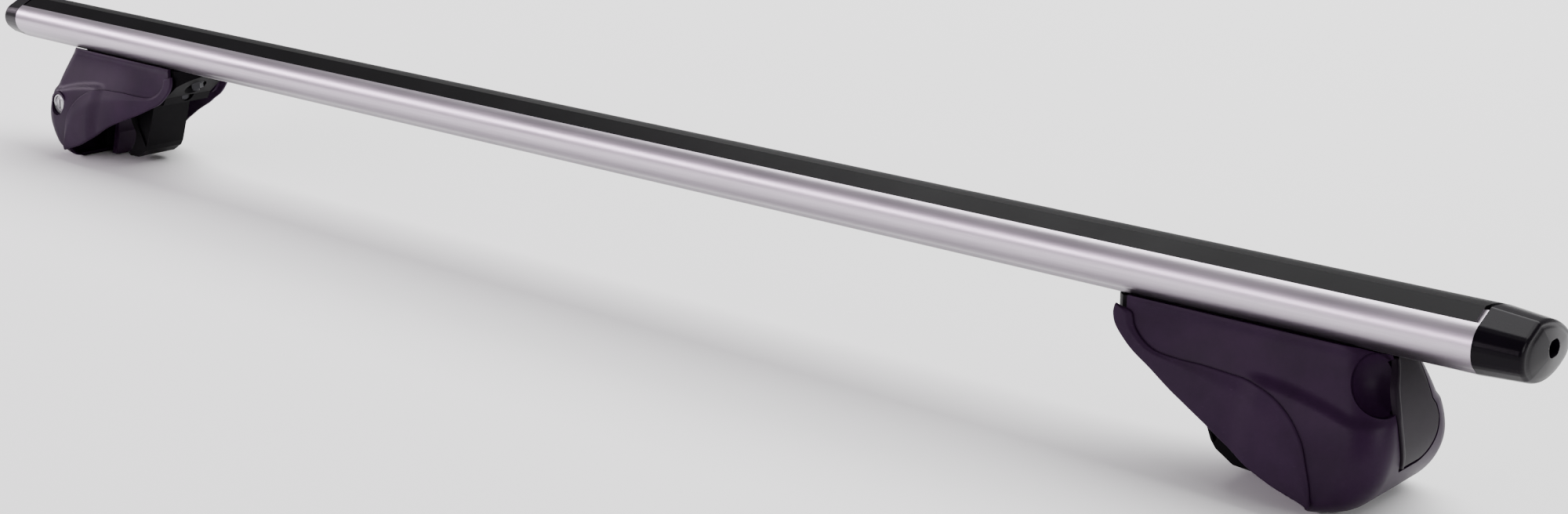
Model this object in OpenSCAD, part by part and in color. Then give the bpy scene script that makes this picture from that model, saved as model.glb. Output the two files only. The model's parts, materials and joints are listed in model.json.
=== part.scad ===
// Roof rack crossbar: an aluminium aero bar on two clamping feet for raised roof rails.
// X runs along the bar, Y along the vehicle, Z up. The origin lies on the ground,
// midway between the feet and under the middle of the bar's width.

/* [Bar] */
// Length of the aluminium profile
bar_length = 1200; // [900:10:1500]
// Width of the profile from nose to nose
bar_width = 56.8; // [54:0.2:62]
// Radius of the blunt leading nose
nose_radius = 11.9; // [11:0.1:12.4]
// Height of the leading nose's centre above the lower creases
nose_height = 12.7; // [12:0.1:13.5]
// Radius of the thin trailing nose
rear_radius = 9.2; // [8.6:0.1:9.6]
// Height of the crown above the lower creases
crown_height = 28.8; // [28:0.1:29.6]
// Radius of the crowned top
crown_radius = 64; // [61:1:68]
// How far ahead of the middle the crown is highest
crown_ahead = 12; // [10:0.5:13]
// How far the underside bulges below the lower creases
belly_depth = 4.6; // [4:0.1:5]
// Half the distance between the two lower creases
crease_half = 20.1; // [19:0.1:21]
// Distance from the middle to the upper end of the bevel beside the front crease
bevel_half = 25.8; // [25.2:0.1:26.2]
// Height of the upper end of that bevel
bevel_height = 5.2; // [4.6:0.1:5.8]
// Thickness of the profile's walls
bar_wall = 2; // [1.6:0.1:2.2]

/* [Bar slots] */
// How far ahead of the middle the upper accessory slot lies
slot_ahead = 5; // [4:0.5:6]
// Width of the mouth of the upper accessory slot
top_mouth = 11; // [9:0.5:12]
// Width of the cavity of the upper accessory slot
top_cavity = 20; // [18:0.5:20]
// Height of the top of that cavity
top_cavity_height = 22; // [21.4:0.1:22.4]
// Depth of that cavity
top_cavity_depth = 5.4; // [4.8:0.1:5.6]
// Width of the mouth of the lower channel
low_mouth = 11; // [9:0.5:12]
// Width of the cavity of the lower channel
low_cavity = 21; // [20.5:0.5:22]
// Height of the cavity of the lower channel
low_cavity_height = 5.8; // [5:0.1:6]
// Thickness of the lips beside the lower mouth
slot_lip = 2.4; // [2:0.1:2.8]
// Outer radius of the screw boss in the middle of the profile
boss_radius = 4; // [3.4:0.1:4.2]
// Radius of the screw core in that boss
boss_core = 1.8; // [1.5:0.1:2]
// How far behind the middle the screw lies
screw_across = 1.4; // [0:0.1:2]
// Height of the screw above the lower creases
screw_height = 12.1; // [11.6:0.1:12.4]

/* [Top strip] */
// Direction from the leading nose's centre to the strip's front edge
strip_edge_angle = 113; // [110:0.5:116]
// Rise of the strip's front bevel up to its ridge
strip_bevel_angle = 27; // [24:0.5:30]
// Distance from the middle to the strip's rear edge
strip_rear = 17; // [14:0.5:19]
// Thickness of its flange
strip_thickness = 1.8; // [1.4:0.1:2]
// Gap that is left at each end of the strip
strip_end_gap = 2.4; // [1:0.1:6]
// How deep the strip's two legs reach below the slot's lips
strip_leg = 1; // [0.5:0.1:2]

/* [End caps] */
// How far a cap stands out beyond the profile
cap_length = 25.6; // [22:0.2:32]
// Length of the domed face at the cap's end
cap_dome = 3; // [2:0.2:4]
// Length of the rounded edge between the cap's side and its face
cap_round = 2.4; // [1.6:0.2:4]
// Size of the cap before the rounded edge, as a share of the profile
cap_taper = 0.9; // [0.86:0.01:0.96]
// Size of the face, as a share of the profile
cap_face = 0.78; // [0.7:0.01:0.82]
// How far the face's middle drops
cap_drop = 1.4; // [0:0.1:2]
// Length of the plugs inside the profile
plug_length = 18; // [10:1:30]
// Clearance between a plug and the chamber around it
plug_gap = 0.2; // [0.15:0.05:0.4]
// Radius of the screw hole in the cap
screw_hole = 2.3; // [2.1:0.1:2.6]
// Radius of the ends of the deep oval recess for the screw's head
screw_recess = 4; // [3.6:0.1:4.2]
// Distance between the centres of the recess's rounded ends
recess_stretch = 3.6; // [2:0.2:4.4]
// Thickness of the floor that the screw's head seats on
recess_floor = 4; // [3:0.5:6]

/* [Foot position] */
// Distance from the profile's right end back to the right foot's centre
right_inset = 111; // [108:1:300]
// Distance from the profile's left end back to the left foot's centre
left_inset = 125; // [108:1:300]
// Height of the lower creases of the bar above the ground
foot_drop = 81; // [79:0.5:81.5]
// Jaw of the right foot, drawn in from the middle of its travel
right_jaw_set = 10; // [-10:0.5:14]
// Jaw of the left foot, drawn in from the middle of its travel
left_jaw_set = 8; // [-10:0.5:14]

/* [Foot housing] */
// Half width of the housing at its upper edge
top_half = 22; // [21:0.1:24]
// How far the sides flare out from there
side_flare = 17; // [14:0.2:19]
// Depth at which the sides are widest
flare_depth = 58; // [50:1:62]
// Sharpness of the flare near the upper edge
flare_power = 1.34; // [1:0.02:1.6]
// Share of the flare that is left at the inboard end
inboard_flare = 0.3; // [0.2:0.05:0.6]
// Distance from the foot's centre to the housing's inboard end
inboard_end = 70; // [66:0.5:74]
// Distance from the foot's centre to the nose where it stands out most
nose_reach = 77; // [74:0.5:80]
// Depth at which the nose stands out most
nose_depth = 46; // [45:1:48]
// How far the nose leans back at its upper edge
nose_lean = 14; // [10:0.5:15]
// Radius of the nose's lower curve
nose_curve = 36; // [36:0.5:39]
// Radius of the housing's upright corners
corner_radius = 17; // [16:0.5:18]
// Height of the rounding along the lower edge
lower_round = 11; // [8:0.5:13]
// Depth of the step along the crease
crease_step = 2.2; // [1:0.1:3]
// Depth of the crease where it leaves the skirt
crease_depth = 22; // [20:0.5:24]
// Wall of the housing
housing_wall = 2.5; // [2:0.1:3]
// Distance from the foot's centre to the inner edge of the floor
floor_edge = 43; // [42.5:0.5:46]
// Gap between the housing's upper edge and the bar's creases
top_gap = 0.6; // [0.4:0.1:1.5]

/* [Skirts] */
// Thickness of the soft skirts
skirt_thickness = 2.1; // [1.6:0.1:2.6]
// Thickness left at a skirt's upper edge
skirt_edge = 1.1; // [0.8:0.1:1.6]
// How far a skirt laps over the housing
skirt_lap = 4; // [3:0.5:6]
// Clearance between a skirt and the housing under it
skirt_gap = 0.25; // [0.2:0.05:0.4]

/* [Lid and lock] */
// Front edge of the access lid where it reaches furthest to the front
lid_front = -19; // [-20:0.5:-18]
// Width of the housing's rim behind the lid, measured across the foot
lid_rim = 17.5; // [17:0.5:18.5]
// Depth of the lid's upper edge
lid_top = 6; // [5:0.5:9]
// Depth of the lid's lower edge
lid_bottom = 56.5; // [55:0.5:58]
// Thickness of the lid
lid_thickness = 2; // [1.8:0.1:2.2]
// Gap around the lid
lid_gap = 0.5; // [0.4:0.1:0.8]
// Radius of the lid's guide pins
pin_radius = 1.25; // [1:0.05:1.4]
// Radius of the bosses that hold the guide pins
pin_boss = 2.2; // [2:0.1:2.4]
// Length of a guide pin behind the front of its shelf
pin_reach = 16; // [14:0.5:17]
// Radial running clearance on pins and on the lock
running_gap = 0.06; // [0.03:0.01:0.1]
// Height of the guide pins above the lid's lower edge
guide_rise = 6; // [5:0.5:7]
// Distance from the nose's face back to the shelf that guides the pins
shelf_inset = 7.8; // [7.4:0.1:8.4]
// Gap under the lid's lower edge, so that the edge can swing inwards
lid_sill = 1.5; // [1.3:0.1:2]
// Radius of the lock's barrel
lock_radius = 8; // [7:0.1:8.4]
// Distance from the foot's centre to the lock's axis
lock_x = 56; // [55:0.5:57]
// Depth of the lock's axis
lock_depth = 42; // [41:0.5:44]
// How far the lock's face lies inside the housing's side
lock_recess = 1.4; // [1:0.1:2]
// Length of the lock's barrel
lock_length = 15; // [13:0.5:17]
// Radius of the pocket for a finger beside the lid
scoop_radius = 18.8; // [18:0.2:19.4]

/* [Carrier] */
// Half width of the carrier
carrier_half = 19.2; // [18.8:0.1:19.4]
// Depth of the carrier's upper face
carrier_top = 7; // [6.5:0.1:8]
// Depth of the upper edge of the two rims that stand up beside the saddle
rim_top = 2; // [1.8:0.1:2.4]
// Depth of the carrier's lower face
carrier_low = 30; // [29:0.5:31]
// Thickness of the web under the saddle
web = 5; // [4:0.5:6]
// Half width of the guide slot for the jaw
guide_half = 8.5; // [8:0.1:10]
// Thickness of the fixed outer leg
leg_thickness = 5; // [4:0.5:6]
// Where the inboard face of the outer leg lies
leg_x = 32; // [31:0.5:33]
// Depth of the outer leg's lower end
leg_low = 74; // [70:1:76]
// Clearance between the saddle and the bar
saddle_gap = 0.3; // [0.25:0.05:0.5]
// Face of the thrust wall that the clamp bolt pulls on
thrust_x = 44; // [43:0.5:46]

/* [Clamp] */
// Half width of the jaw
jaw_half = 15.5; // [14:0.5:17]
// Clearance between the jaw and the carrier that guides it
slide_gap = 0.3; // [0.25:0.05:0.5]
// Depth of the jaw's lowest tip
jaw_low = 76.5; // [74:0.5:78]
// Radius of the hollow that holds the rail
jaw_hollow = 21; // [19:0.5:23]
// Thickness of the steel hook in the jaw
hook_thickness = 4; // [3:0.5:5]
// Clearance between the hook and the jaw's moulding
hook_gap = 0.15; // [0.1:0.05:0.2]
// Thickness of the rubber on the jaw
jaw_rubber = 2.4; // [2:0.1:3]
// Travel of the jaw from its middle towards the inboard end
jaw_open = 13.5; // [10:0.5:13.5]
// Radius of the clamp bolt's shank
clamp_radius = 4; // [3:0.5:4]
// Depth of the clamp bolt's axis
clamp_depth = 24; // [23.5:0.1:24.5]
// Radius of the clamp bolt's head
clamp_head = 6.5; // [6:0.1:7]
// Length of that head
clamp_head_length = 8; // [6:0.5:9]
// Width across the flats of its hexagon socket
clamp_key = 6; // [5:0.5:6]
// Distance from the foot's centre to the tip of the clamp bolt
clamp_tip = 56; // [53:0.5:56]
// Half width of the pad on the outer leg at its foot
pad_half = 10.5; // [9:0.5:12]

/* [Fasteners] */
// Radius of the tee bolts' shanks
tee_radius = 3; // [2.5:0.5:3]
// Length of a tee bolt's head across the channel
tee_head_length = 19; // [16:0.5:20]
// Width of a tee bolt's head
tee_head_width = 10; // [8:0.5:10.5]
// Thickness of a tee bolt's head
tee_head_height = 3.6; // [3:0.1:4]
// Distance from the foot's centre to the inboard tee bolt
tee_inboard = 70; // [69:0.5:71]
// Distance from the foot's centre to the outboard tee bolt
tee_outboard = 21; // [20:0.5:22]

/* [Hidden] */
aluminium = [0.76, 0.74, 0.76];
black_rubber = [0.09, 0.09, 0.1];
black_plastic = [0.12, 0.12, 0.13];
plum_plastic = [0.2, 0.17, 0.22];
plum_rubber = [0.26, 0.22, 0.28];
lid_grey = [0.22, 0.21, 0.23];
zinc = [0.7, 0.71, 0.73];
dark_steel = [0.3, 0.3, 0.32];

// Long enough to cut right through any piece of a foot
through = 200;
fine = 96;
round_fn = 48;

// Bar section, seen along the bar: first value across, second value up
front_centre = [nose_radius - bar_width / 2, nose_height];
crown_centre = [-crown_ahead, crown_height - crown_radius];
rear_y = bar_width / 2 - rear_radius;
rear_centre = [rear_y, crown_centre[1] + sqrt(pow(crown_radius - rear_radius, 2) - pow(rear_y + crown_ahead, 2))];
belly_radius = (crease_half * crease_half + belly_depth * belly_depth) / (2 * belly_depth);
belly_centre = [0, belly_radius - belly_depth];
strip_front = front_centre[0] + nose_radius * cos(strip_edge_angle);
chamber_front = -slot_ahead - top_cavity / 2 - bar_wall;
chamber_rear = low_cavity / 2 + 2 * bar_wall;

function clamp01(v) = min(max(v, 0), 1);
function smooth(v) = let (c = clamp01(v)) c * c * (3 - 2 * c);
function mix(a, b, v) = a + (b - a) * v;
function unit(v) = v / max(norm(v), 0.000001);

// Outline of the profile, drawn in all round by an inset
module bar_outline(inset, arcs = 240) {
    far = 14;
    // Straight pieces start a little inside the round ones, so that each joint is a clean crossing
    overlap = 0.6;
    ahead = [cos(strip_bevel_angle), sin(strip_bevel_angle)];
    edge = front_centre + (nose_radius - inset) * [cos(strip_edge_angle), sin(strip_edge_angle)];
    bevel = front_centre + 0.985 * (nose_radius - inset) * unit([-bevel_half, bevel_height] - front_centre);
    intersection() {
        translate(crown_centre) circle(r = crown_radius - inset, $fn = arcs);
        translate(belly_centre) circle(r = belly_radius - inset, $fn = arcs);
        union() {
            translate(front_centre) circle(r = nose_radius - inset, $fn = arcs / 4);
            translate(rear_centre) circle(r = rear_radius + 0.02 - inset, $fn = arcs / 4);
            polygon([
                front_centre, edge - overlap * ahead, edge + 2 * far * ahead,
                rear_centre + far * unit(rear_centre - crown_centre), rear_centre,
                rear_centre + far * unit(rear_centre - belly_centre),
                [0, -belly_depth - far],
                [-crease_half + inset / 3, inset], bevel
            ]);
        }
    }
}

// One of the two hollow side chambers, drawn in by a further clearance
module side_chamber(side, gap) {
    intersection() {
        bar_outline(bar_wall + gap);
        if (side < 0)
            translate([chamber_front - gap - bar_width, -bar_width]) square([bar_width, 2 * bar_width]);
        else
            translate([chamber_rear + gap, -bar_width]) square([bar_width, 2 * bar_width]);
    }
}

// Everything that lies above the strip's underside, between its two edges
module strip_bed(clearance, thickness) {
    difference() {
        translate([strip_front - clearance, nose_height])
            square([strip_rear - strip_front + 2 * clearance, bar_width]);
        bar_outline(thickness);
    }
}

// Recess for the strip, the accessory slot and its mouth
module top_slot() {
    strip_bed(0.1, strip_thickness);
    translate([-slot_ahead - top_mouth / 2, top_cavity_height - top_cavity_depth / 2])
        square([top_mouth, bar_width]);
    translate([-slot_ahead - top_cavity / 2, top_cavity_height - top_cavity_depth])
        square([top_cavity, top_cavity_depth]);
}

module low_slot() {
    translate([-low_mouth / 2, -2 * belly_depth]) square([low_mouth, 2 * belly_depth]);
    translate([-low_cavity / 2, slot_lip - belly_depth]) square([low_cavity, low_cavity_height]);
}

// Chamber between the two slots, with the screw boss and its web left in it
module middle_chamber() {
    low_z = slot_lip - belly_depth + low_cavity_height + bar_wall;
    high_z = top_cavity_height - top_cavity_depth - bar_wall;
    from = chamber_front + 2 * bar_wall;
    difference() {
        translate([from, low_z]) square([chamber_rear - bar_wall - from, high_z - low_z]);
        translate([screw_across, screw_height]) circle(r = boss_radius, $fn = round_fn);
        translate([screw_across - bar_wall / 2, 0]) square([bar_wall, bar_width]);
    }
}

module bar_section() {
    difference() {
        bar_outline(0);
        side_chamber(-1, 0);
        side_chamber(1, 0);
        top_slot();
        low_slot();
        middle_chamber();
        translate([screw_across, screw_height]) circle(r = boss_core, $fn = round_fn);
    }
}

// Lays a section drawn across and up along the bar's direction
module along_bar(start, length) {
    translate([start, 0, foot_drop]) rotate([90, 0, 90]) linear_extrude(length) children();
}

module bar_profile() {
    color(aluminium) along_bar(-bar_length / 2, bar_length) bar_section();
}

module strip_section() {
    leg = 1.4;
    intersection() {
        bar_outline(0);
        strip_bed(0, strip_thickness - 0.05);
    }
    for (side = [-1, 1])
        translate([-slot_ahead + side * (top_mouth / 2 - leg) - leg / 2, top_cavity_height - strip_leg])
            intersection() {
                square([leg, bar_width]);
                translate([slot_ahead - side * (top_mouth / 2 - leg) + leg / 2,
                           strip_leg - top_cavity_height]) bar_outline(strip_thickness / 2);
            }
}

module top_strip() {
    strip_length = bar_length - 2 * strip_end_gap;
    color(black_rubber) along_bar(-strip_length / 2, strip_length) strip_section();
}

// Thin slice of the cap: the profile's outline at a place along the cap and a share of its size
module cap_slice(x, share) {
    middle = (crown_height - belly_depth) / 2;
    drop = cap_drop * (1 - share) / (1 - cap_face);
    translate([x, 0, middle - drop]) scale(share) translate([0, 0, -middle])
        rotate([90, 0, 90]) linear_extrude(0.05) bar_outline(0, 120);
}

module end_cap() {
    edge_x = cap_length - cap_dome;
    difference() {
        union() {
            hull() {
                cap_slice(0, 1);
                cap_slice(edge_x - cap_round, cap_taper);
                cap_slice(edge_x - cap_round / 3, mix(cap_taper, cap_face, 0.36));
                cap_slice(edge_x, cap_face);
                cap_slice(cap_length - cap_dome / 3, 0.6 * cap_face);
                cap_slice(cap_length - 0.1, 0.22 * cap_face);
            }
            for (side = [-1, 1])
                translate([-plug_length, 0, 0]) rotate([90, 0, 90])
                    linear_extrude(plug_length + 1) side_chamber(side, plug_gap);
        }
        translate([-1, screw_across, screw_height]) rotate([0, 90, 0])
            cylinder(r = screw_hole, h = cap_length + 2, $fn = round_fn);
        translate([recess_floor, screw_across, screw_height]) {
            for (side = [-1, 1])
                translate([0, side * recess_stretch / 2, 0]) rotate([0, 90, 0])
                    cylinder(r = screw_recess, h = cap_length, $fn = round_fn);
            translate([0, -recess_stretch / 2, -screw_recess])
                cube([cap_length, recess_stretch, 2 * screw_recess]);
        }
    }
}

module cap_screw() {
    head = 2.6;
    reach = 0.8 * plug_length;
    translate([recess_floor, screw_across, screw_height]) rotate([0, 90, 0]) difference() {
        union() {
            cylinder(r = screw_recess - 0.5, h = head, $fn = round_fn);
            translate([0, 0, -recess_floor - reach])
                cylinder(r = boss_core - 0.05, h = recess_floor + reach + 0.1, $fn = round_fn);
        }
        for (turn = [0, 90])
            rotate([0, 0, turn]) translate([-2, -0.4, head - 1.4]) cube([4, 0.8, 2]);
    }
}

// The right cap and its mirror image at the left end
module at_bar_end(side) {
    translate([side * bar_length / 2, 0, foot_drop]) mirror([side > 0 ? 0 : 1, 0, 0]) children();
}

// Everything below is drawn in a foot's own frame: X outboard from the foot's centre,
// Y across the bar, Z up from the bar's lower creases. Depth is the distance below them.
module at_foot(side) {
    offset = bar_length / 2 - (side > 0 ? right_inset : left_inset);
    translate([side * offset, 0, foot_drop]) rotate([0, 0, side > 0 ? 0 : 180]) children();
}

// Outline of the nose in side view: how far it reaches at a depth
function nose_x(depth) = depth < nose_depth
    ? nose_reach - nose_lean * pow((nose_depth - depth) / nose_depth, 1.8)
    : nose_reach - nose_curve
        + sqrt(max(nose_curve * nose_curve - pow(depth - nose_depth, 2), 0));

// Share of the flare at a place along the foot
function flare_share(x) = inboard_flare
    + (1 - inboard_flare) * pow(sin(90 * clamp01((x + inboard_end - 6) / (inboard_end - 6))), 1.3);

// Depth of the crease and the height of its step at a place along the foot
function crease_at(x) = crease_depth + 0.0025 * max(x, 0) * max(x, 0);
function step_at(x, depth) = crease_step * smooth(x / 14) * smooth((depth - crease_at(x) + 1.5) / 4.5);

function lower_draw(depth) = let (v = clamp01((depth - foot_drop + lower_round) / lower_round))
    lower_round * (1 - sqrt(1 - v * v));

// Half width of the housing's outer face at a place along the foot and a depth
function side_y(x, depth) = top_half
    + side_flare * flare_share(x) * pow(sin(90 * clamp01(depth / flare_depth)), flare_power)
    + step_at(x, depth) - lower_draw(depth);

// Upper edge of the skirt: where the housing's panel ends, as place and depth
skirt_line = [
    [-73, 6.3], [-66.5, 8.2], [-64, 14.5], [-58, 20.3], [-49.5, 23.6], [-36, 24],
    [-21, 23.4], [-7, 23.8], [6, 24.6], [16, 26.8], [25, 31], [33, 37.3],
    [39.5, 46], [43, 56], [45.2, 65], [46.2, 72.5]
];
// Free lower edge of the skirt
hem_line = [
    [-75.8, 5.4], [-76.4, 10], [-74.5, 15.5], [-69, 21.5], [-62, 27], [-51, 32.3],
    [-38.5, 38.2], [-26, 43.2], [-13, 48.8], [-2, 54.8], [8, 60.5], [17.5, 65.2],
    [26.5, 69], [35, 71.6], [41, 73.4], [46, 75.2]
];

// Smooth curve through a list of points
function spline_at(points, v) = let (
    last = len(points) - 1,
    i = min(floor(v * last), last - 1),
    f = v * last - i,
    p0 = points[max(i - 1, 0)],
    p1 = points[i],
    p2 = points[i + 1],
    p3 = points[min(i + 2, last)]
) 0.5 * (2 * p1 + (p2 - p0) * f + (2 * p0 - 5 * p1 + 4 * p2 - p3) * f * f
    + (3 * p1 - p0 - 3 * p2 + p3) * f * f * f);

// The same curve moved under the skirt by the lap
function lap_point(v) = let (
    along = unit(spline_at(skirt_line, min(v + 0.01, 1)) - spline_at(skirt_line, max(v - 0.01, 0)))
) spline_at(skirt_line, v) + skirt_lap * [-along[1], along[0]];

// The housing is a wall that runs from its inboard end along one side, round the nose
// and back. A column is a place along that run, a row is a step down the wall.
side_columns = 18;
corner_columns = 7;
nose_columns = 5;
wall_rows = 16;
last_column = 2 * side_columns + 2 * corner_columns + nose_columns - 1;

function corner_x(depth) = nose_x(depth) - corner_radius;
function column_place(i) = mix(-inboard_end, corner_x(nose_depth), i / (side_columns - 1));
function side_x(place, depth) = place
    + (corner_x(depth) - corner_x(nose_depth)) * smooth((place - 5) / (corner_x(nose_depth) - 5));
// Rows lie closer together over the crease and over the rounding at the bottom
function row_depth(place, k) = let (crease = crease_at(place) - 1.5, v = (k - 6) / (wall_rows - 7))
    k <= 3 ? mix(top_gap, crease, k / 3)
    : k <= 6 ? crease + 1.5 * (k - 3)
    : mix(crease + 4.5, foot_drop, (v + sin(90 * v)) / 2);

// A point on the housing's outer face, for a column counted from the front inboard end
function wall_point(i, k) =
    i < side_columns ? let (place = column_place(i), depth = row_depth(place, k),
            x = side_x(place, depth))
        [x, -side_y(x, depth), -depth]
    : i < side_columns + corner_columns ? let (
            turn = 90 * (i - side_columns + 1) / (corner_columns + 1),
            depth = row_depth(corner_x(nose_depth), k), x = corner_x(depth))
        [x + corner_radius * sin(turn), -side_y(x, depth) + corner_radius * (1 - cos(turn)), -depth]
    : i < side_columns + corner_columns + nose_columns ? let (
            f = (i - side_columns - corner_columns) / (nose_columns - 1),
            depth = row_depth(corner_x(nose_depth), k), x = corner_x(depth),
            flat = side_y(x, depth) - corner_radius)
        [x + corner_radius, mix(-flat, flat, f), -depth]
    : let (p = wall_point(last_column - i, k)) [p[0], -p[1], p[2]];

// Outward direction of the outer face, from the points around
function wall_normal(i, k) = unit(cross(
    wall_point(min(i + 1, last_column), k) - wall_point(max(i - 1, 0), k),
    wall_point(i, max(k - 1, 0)) - wall_point(i, min(k + 1, wall_rows - 1))));

// Closed shell between two grids of points with the same columns and rows
module shell(outer, inner, columns, rows) {
    count = columns * rows;
    points = concat(
        [for (i = [0:columns - 1]) for (k = [0:rows - 1]) outer[i][k]],
        [for (i = [0:columns - 1]) for (k = [0:rows - 1]) inner[i][k]]);
    skin = [for (i = [0:columns - 2]) for (k = [0:rows - 2]) let (a = i * rows + k, b = a + rows)
        each [[a, b, a + 1], [b, b + 1, a + 1],
              [a + count, a + 1 + count, b + count], [b + count, a + 1 + count, b + 1 + count]]];
    rims = [for (i = [0:columns - 2]) for (k = [0, rows - 1])
        let (a = i * rows + k, b = a + rows, up = k == 0)
        each (up ? [[a, a + count, b], [b, a + count, b + count]]
                 : [[a, b, a + count], [b, b + count, a + count]])];
    ends = [for (i = [0, columns - 1]) for (k = [0:rows - 2])
        let (a = i * rows + k, b = a + 1, first = i == 0)
        each (first ? [[a, b, a + count], [b, b + count, a + count]]
                    : [[a, a + count, b], [b, a + count, b + count]])];
    polyhedron(points = points, faces = concat(skin, rims, ends), convexity = 8);
}

module housing_wall_shell() {
    outer = [for (i = [0:last_column]) [for (k = [0:wall_rows - 1]) wall_point(i, k)]];
    inner = [for (i = [0:last_column]) [for (k = [0:wall_rows - 1])
        let (p = wall_point(i, k) - housing_wall * wall_normal(i, k))
        [p[0], p[1], min(p[2], -top_gap)]]];
    difference() {
        shell(outer, inner, last_column + 1, wall_rows);
        below_lap();
    }
}

// Everything below the line along which the skirt laps over the wall
module below_lap() {
    steps = 40;
    low = -foot_drop - 5;
    end = lap_point(1);
    translate([0, through / 2, 0]) rotate([90, 0, 0]) linear_extrude(through) polygon(concat(
        [[-inboard_end - 20, low], [-inboard_end - 20, -lap_point(0)[1]]],
        [for (i = [0:steps]) let (q = lap_point(i / steps)) [q[0], -q[1]]],
        [[end[0], low]]));
}

// Floor under the outboard end, inside the wall's lower edge
floor_half = side_y(floor_edge, foot_drop) - 0.1;
floor_reach = nose_x(foot_drop) - 0.1;
module housing_floor() {
    lift = 0.1;
    round_in = corner_radius / 2;
    translate([0, 0, -foot_drop + lift]) linear_extrude(housing_wall - lift) difference() {
        translate([floor_edge, -floor_half]) square([floor_reach - floor_edge, 2 * floor_half]);
        for (side = [-1, 1])
            translate([floor_reach - round_in, side * (floor_half - round_in)]) difference() {
                translate([0, side > 0 ? 0 : -round_in]) square(round_in);
                circle(r = round_in, $fn = round_fn);
            }
    }
}

guide_depth = lid_bottom - guide_rise;
guide_places = [-7, 8];
lock_face_y = side_y(lock_x, lock_depth) - lock_recess;
lock_boss = lock_radius + 1.8;

module along_y(x, z, from, to, radius, facets = round_fn) {
    translate([x, to, z]) rotate([90, 0, 0]) cylinder(r = radius, h = to - from, $fn = facets);
}

module lock_sleeve() {
    along_y(lock_x, -lock_depth, lock_face_y - lock_length, lock_face_y - 0.6, lock_boss);
}

module along_x(y, depth, from, to, radius) {
    translate([from, y, -depth]) rotate([0, 90, 0]) cylinder(r = radius, h = to - from, $fn = round_fn);
}

// Shelf inside the nose, bored for the lid's guide pins
shelf_thickness = 6;
shelf_play = 0.3;
shelf_front = nose_x(guide_depth) - shelf_inset;
shelf_half = side_y(corner_x(guide_depth), guide_depth) - 0.6
    - corner_radius * (1 - sqrt(1 - pow((shelf_front - corner_x(guide_depth)) / corner_radius, 2)));
module guide_shelf() {
    translate([shelf_front - shelf_thickness, -shelf_half, -guide_depth - pin_boss + 0.4])
        cube([shelf_thickness, 2 * shelf_half, 2 * pin_boss - 0.4]);
}

// Outline of the lid, seen from its end: across and up
sharp_corner = 3;
wide_corner = 18;
// Front and rear edge of the lid at a depth
function lid_from(depth) = lid_front
    + spline_at([[0, 11], [0, 3], [0, 0], [0, 1], [0, 4.5]], clamp01((depth - lid_top) / (lid_bottom - lid_top)))[1];
function lid_to(depth) = side_y(corner_x(depth), depth) - mix(0.6 * lid_rim, lid_rim, smooth(depth / 36));
module lid_panel(side_gap, low_gap, rise) {
    from = lid_from(lid_bottom) - side_gap;
    low = -lid_bottom - low_gap;
    to = lid_to(lid_bottom - wide_corner) + side_gap;
    steps = 12;
    difference() {
        polygon(concat(
            [[from, low]],
            [for (i = [0:steps]) let (depth = mix(lid_bottom, lid_top, i / steps))
                [lid_from(depth) - side_gap, -depth]],
            [[lid_from(lid_top) - side_gap, rise - lid_top], [lid_to(lid_top) + side_gap, rise - lid_top]],
            [for (i = [0:steps]) let (depth = mix(lid_top, lid_bottom - wide_corner, i / steps))
                [lid_to(depth) + side_gap, -depth]],
            [[to, low]]));
        translate([from + sharp_corner, low + sharp_corner]) difference() {
            translate([-sharp_corner, -sharp_corner]) square(sharp_corner);
            circle(r = sharp_corner, $fn = round_fn);
        }
        translate([to - wide_corner, low + wide_corner]) difference() {
            translate([0, -wide_corner]) square(wide_corner);
            circle(r = wide_corner, $fn = fine);
        }
    }
}

// Opening that the access lid closes
module lid_opening() {
    translate([corner_x(lid_top) + 4, 0, 0]) rotate([90, 0, 90]) linear_extrude(through)
        lid_panel(lid_gap, lid_sill, 20);
}

// Pocket for a finger at the front upper corner, where the lid is pulled open
scoop_x = 71.5;
scoop_y = -24;
scoop_depth = 13;
module finger_scoop(extra) {
    translate([scoop_x, scoop_y, -scoop_depth]) sphere(r = scoop_radius + extra, $fn = fine);
}

// Solid body inside the housing's outer face round the nose, drawn in all round
module inner_body(inside) {
    first = side_columns - 4;
    count = last_column - 2 * first + 1;
    rows = 10;
    points = [for (i = [0:count - 1]) for (k = [0:rows - 1])
        wall_point(first + i, k) - inside * wall_normal(first + i, k)];
    skin = [for (i = [0:count - 2]) for (k = [0:rows - 2]) let (a = i * rows + k, b = a + rows)
        each [[a, b, a + 1], [b, b + 1, a + 1]]];
    lids = [for (i = [0:floor(count / 2) - 1])
        let (a = i * rows, b = a + rows, c = (count - 2 - i) * rows, d = c + rows, low = rows - 1)
        each concat([[a, d, b], [a + low, b + low, d + low]],
            b < c ? [[d, c, b], [d + low, b + low, c + low]] : [])];
    back = [for (k = [0:rows - 2]) let (a = k, b = (count - 1) * rows + k)
        each [[a, a + 1, b], [b, a + 1, b + 1]]];
    polyhedron(points = points, faces = concat(skin, lids, back), convexity = 8);
}

// Wall of the pocket: it reaches the housing's wall, and stays clear of the lid's back
module scoop_wall() {
    intersection() {
        difference() {
            finger_scoop(housing_wall - 0.3);
            finger_scoop(-0.1);
        }
        translate([0, -through / 2, -through + 1 - top_gap]) cube([through, through, through - 1]);
        union() {
            difference() {
                inner_body(1.2);
                lid_opening();
            }
            inner_body(lid_thickness + 1.6);
        }
    }
}

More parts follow.
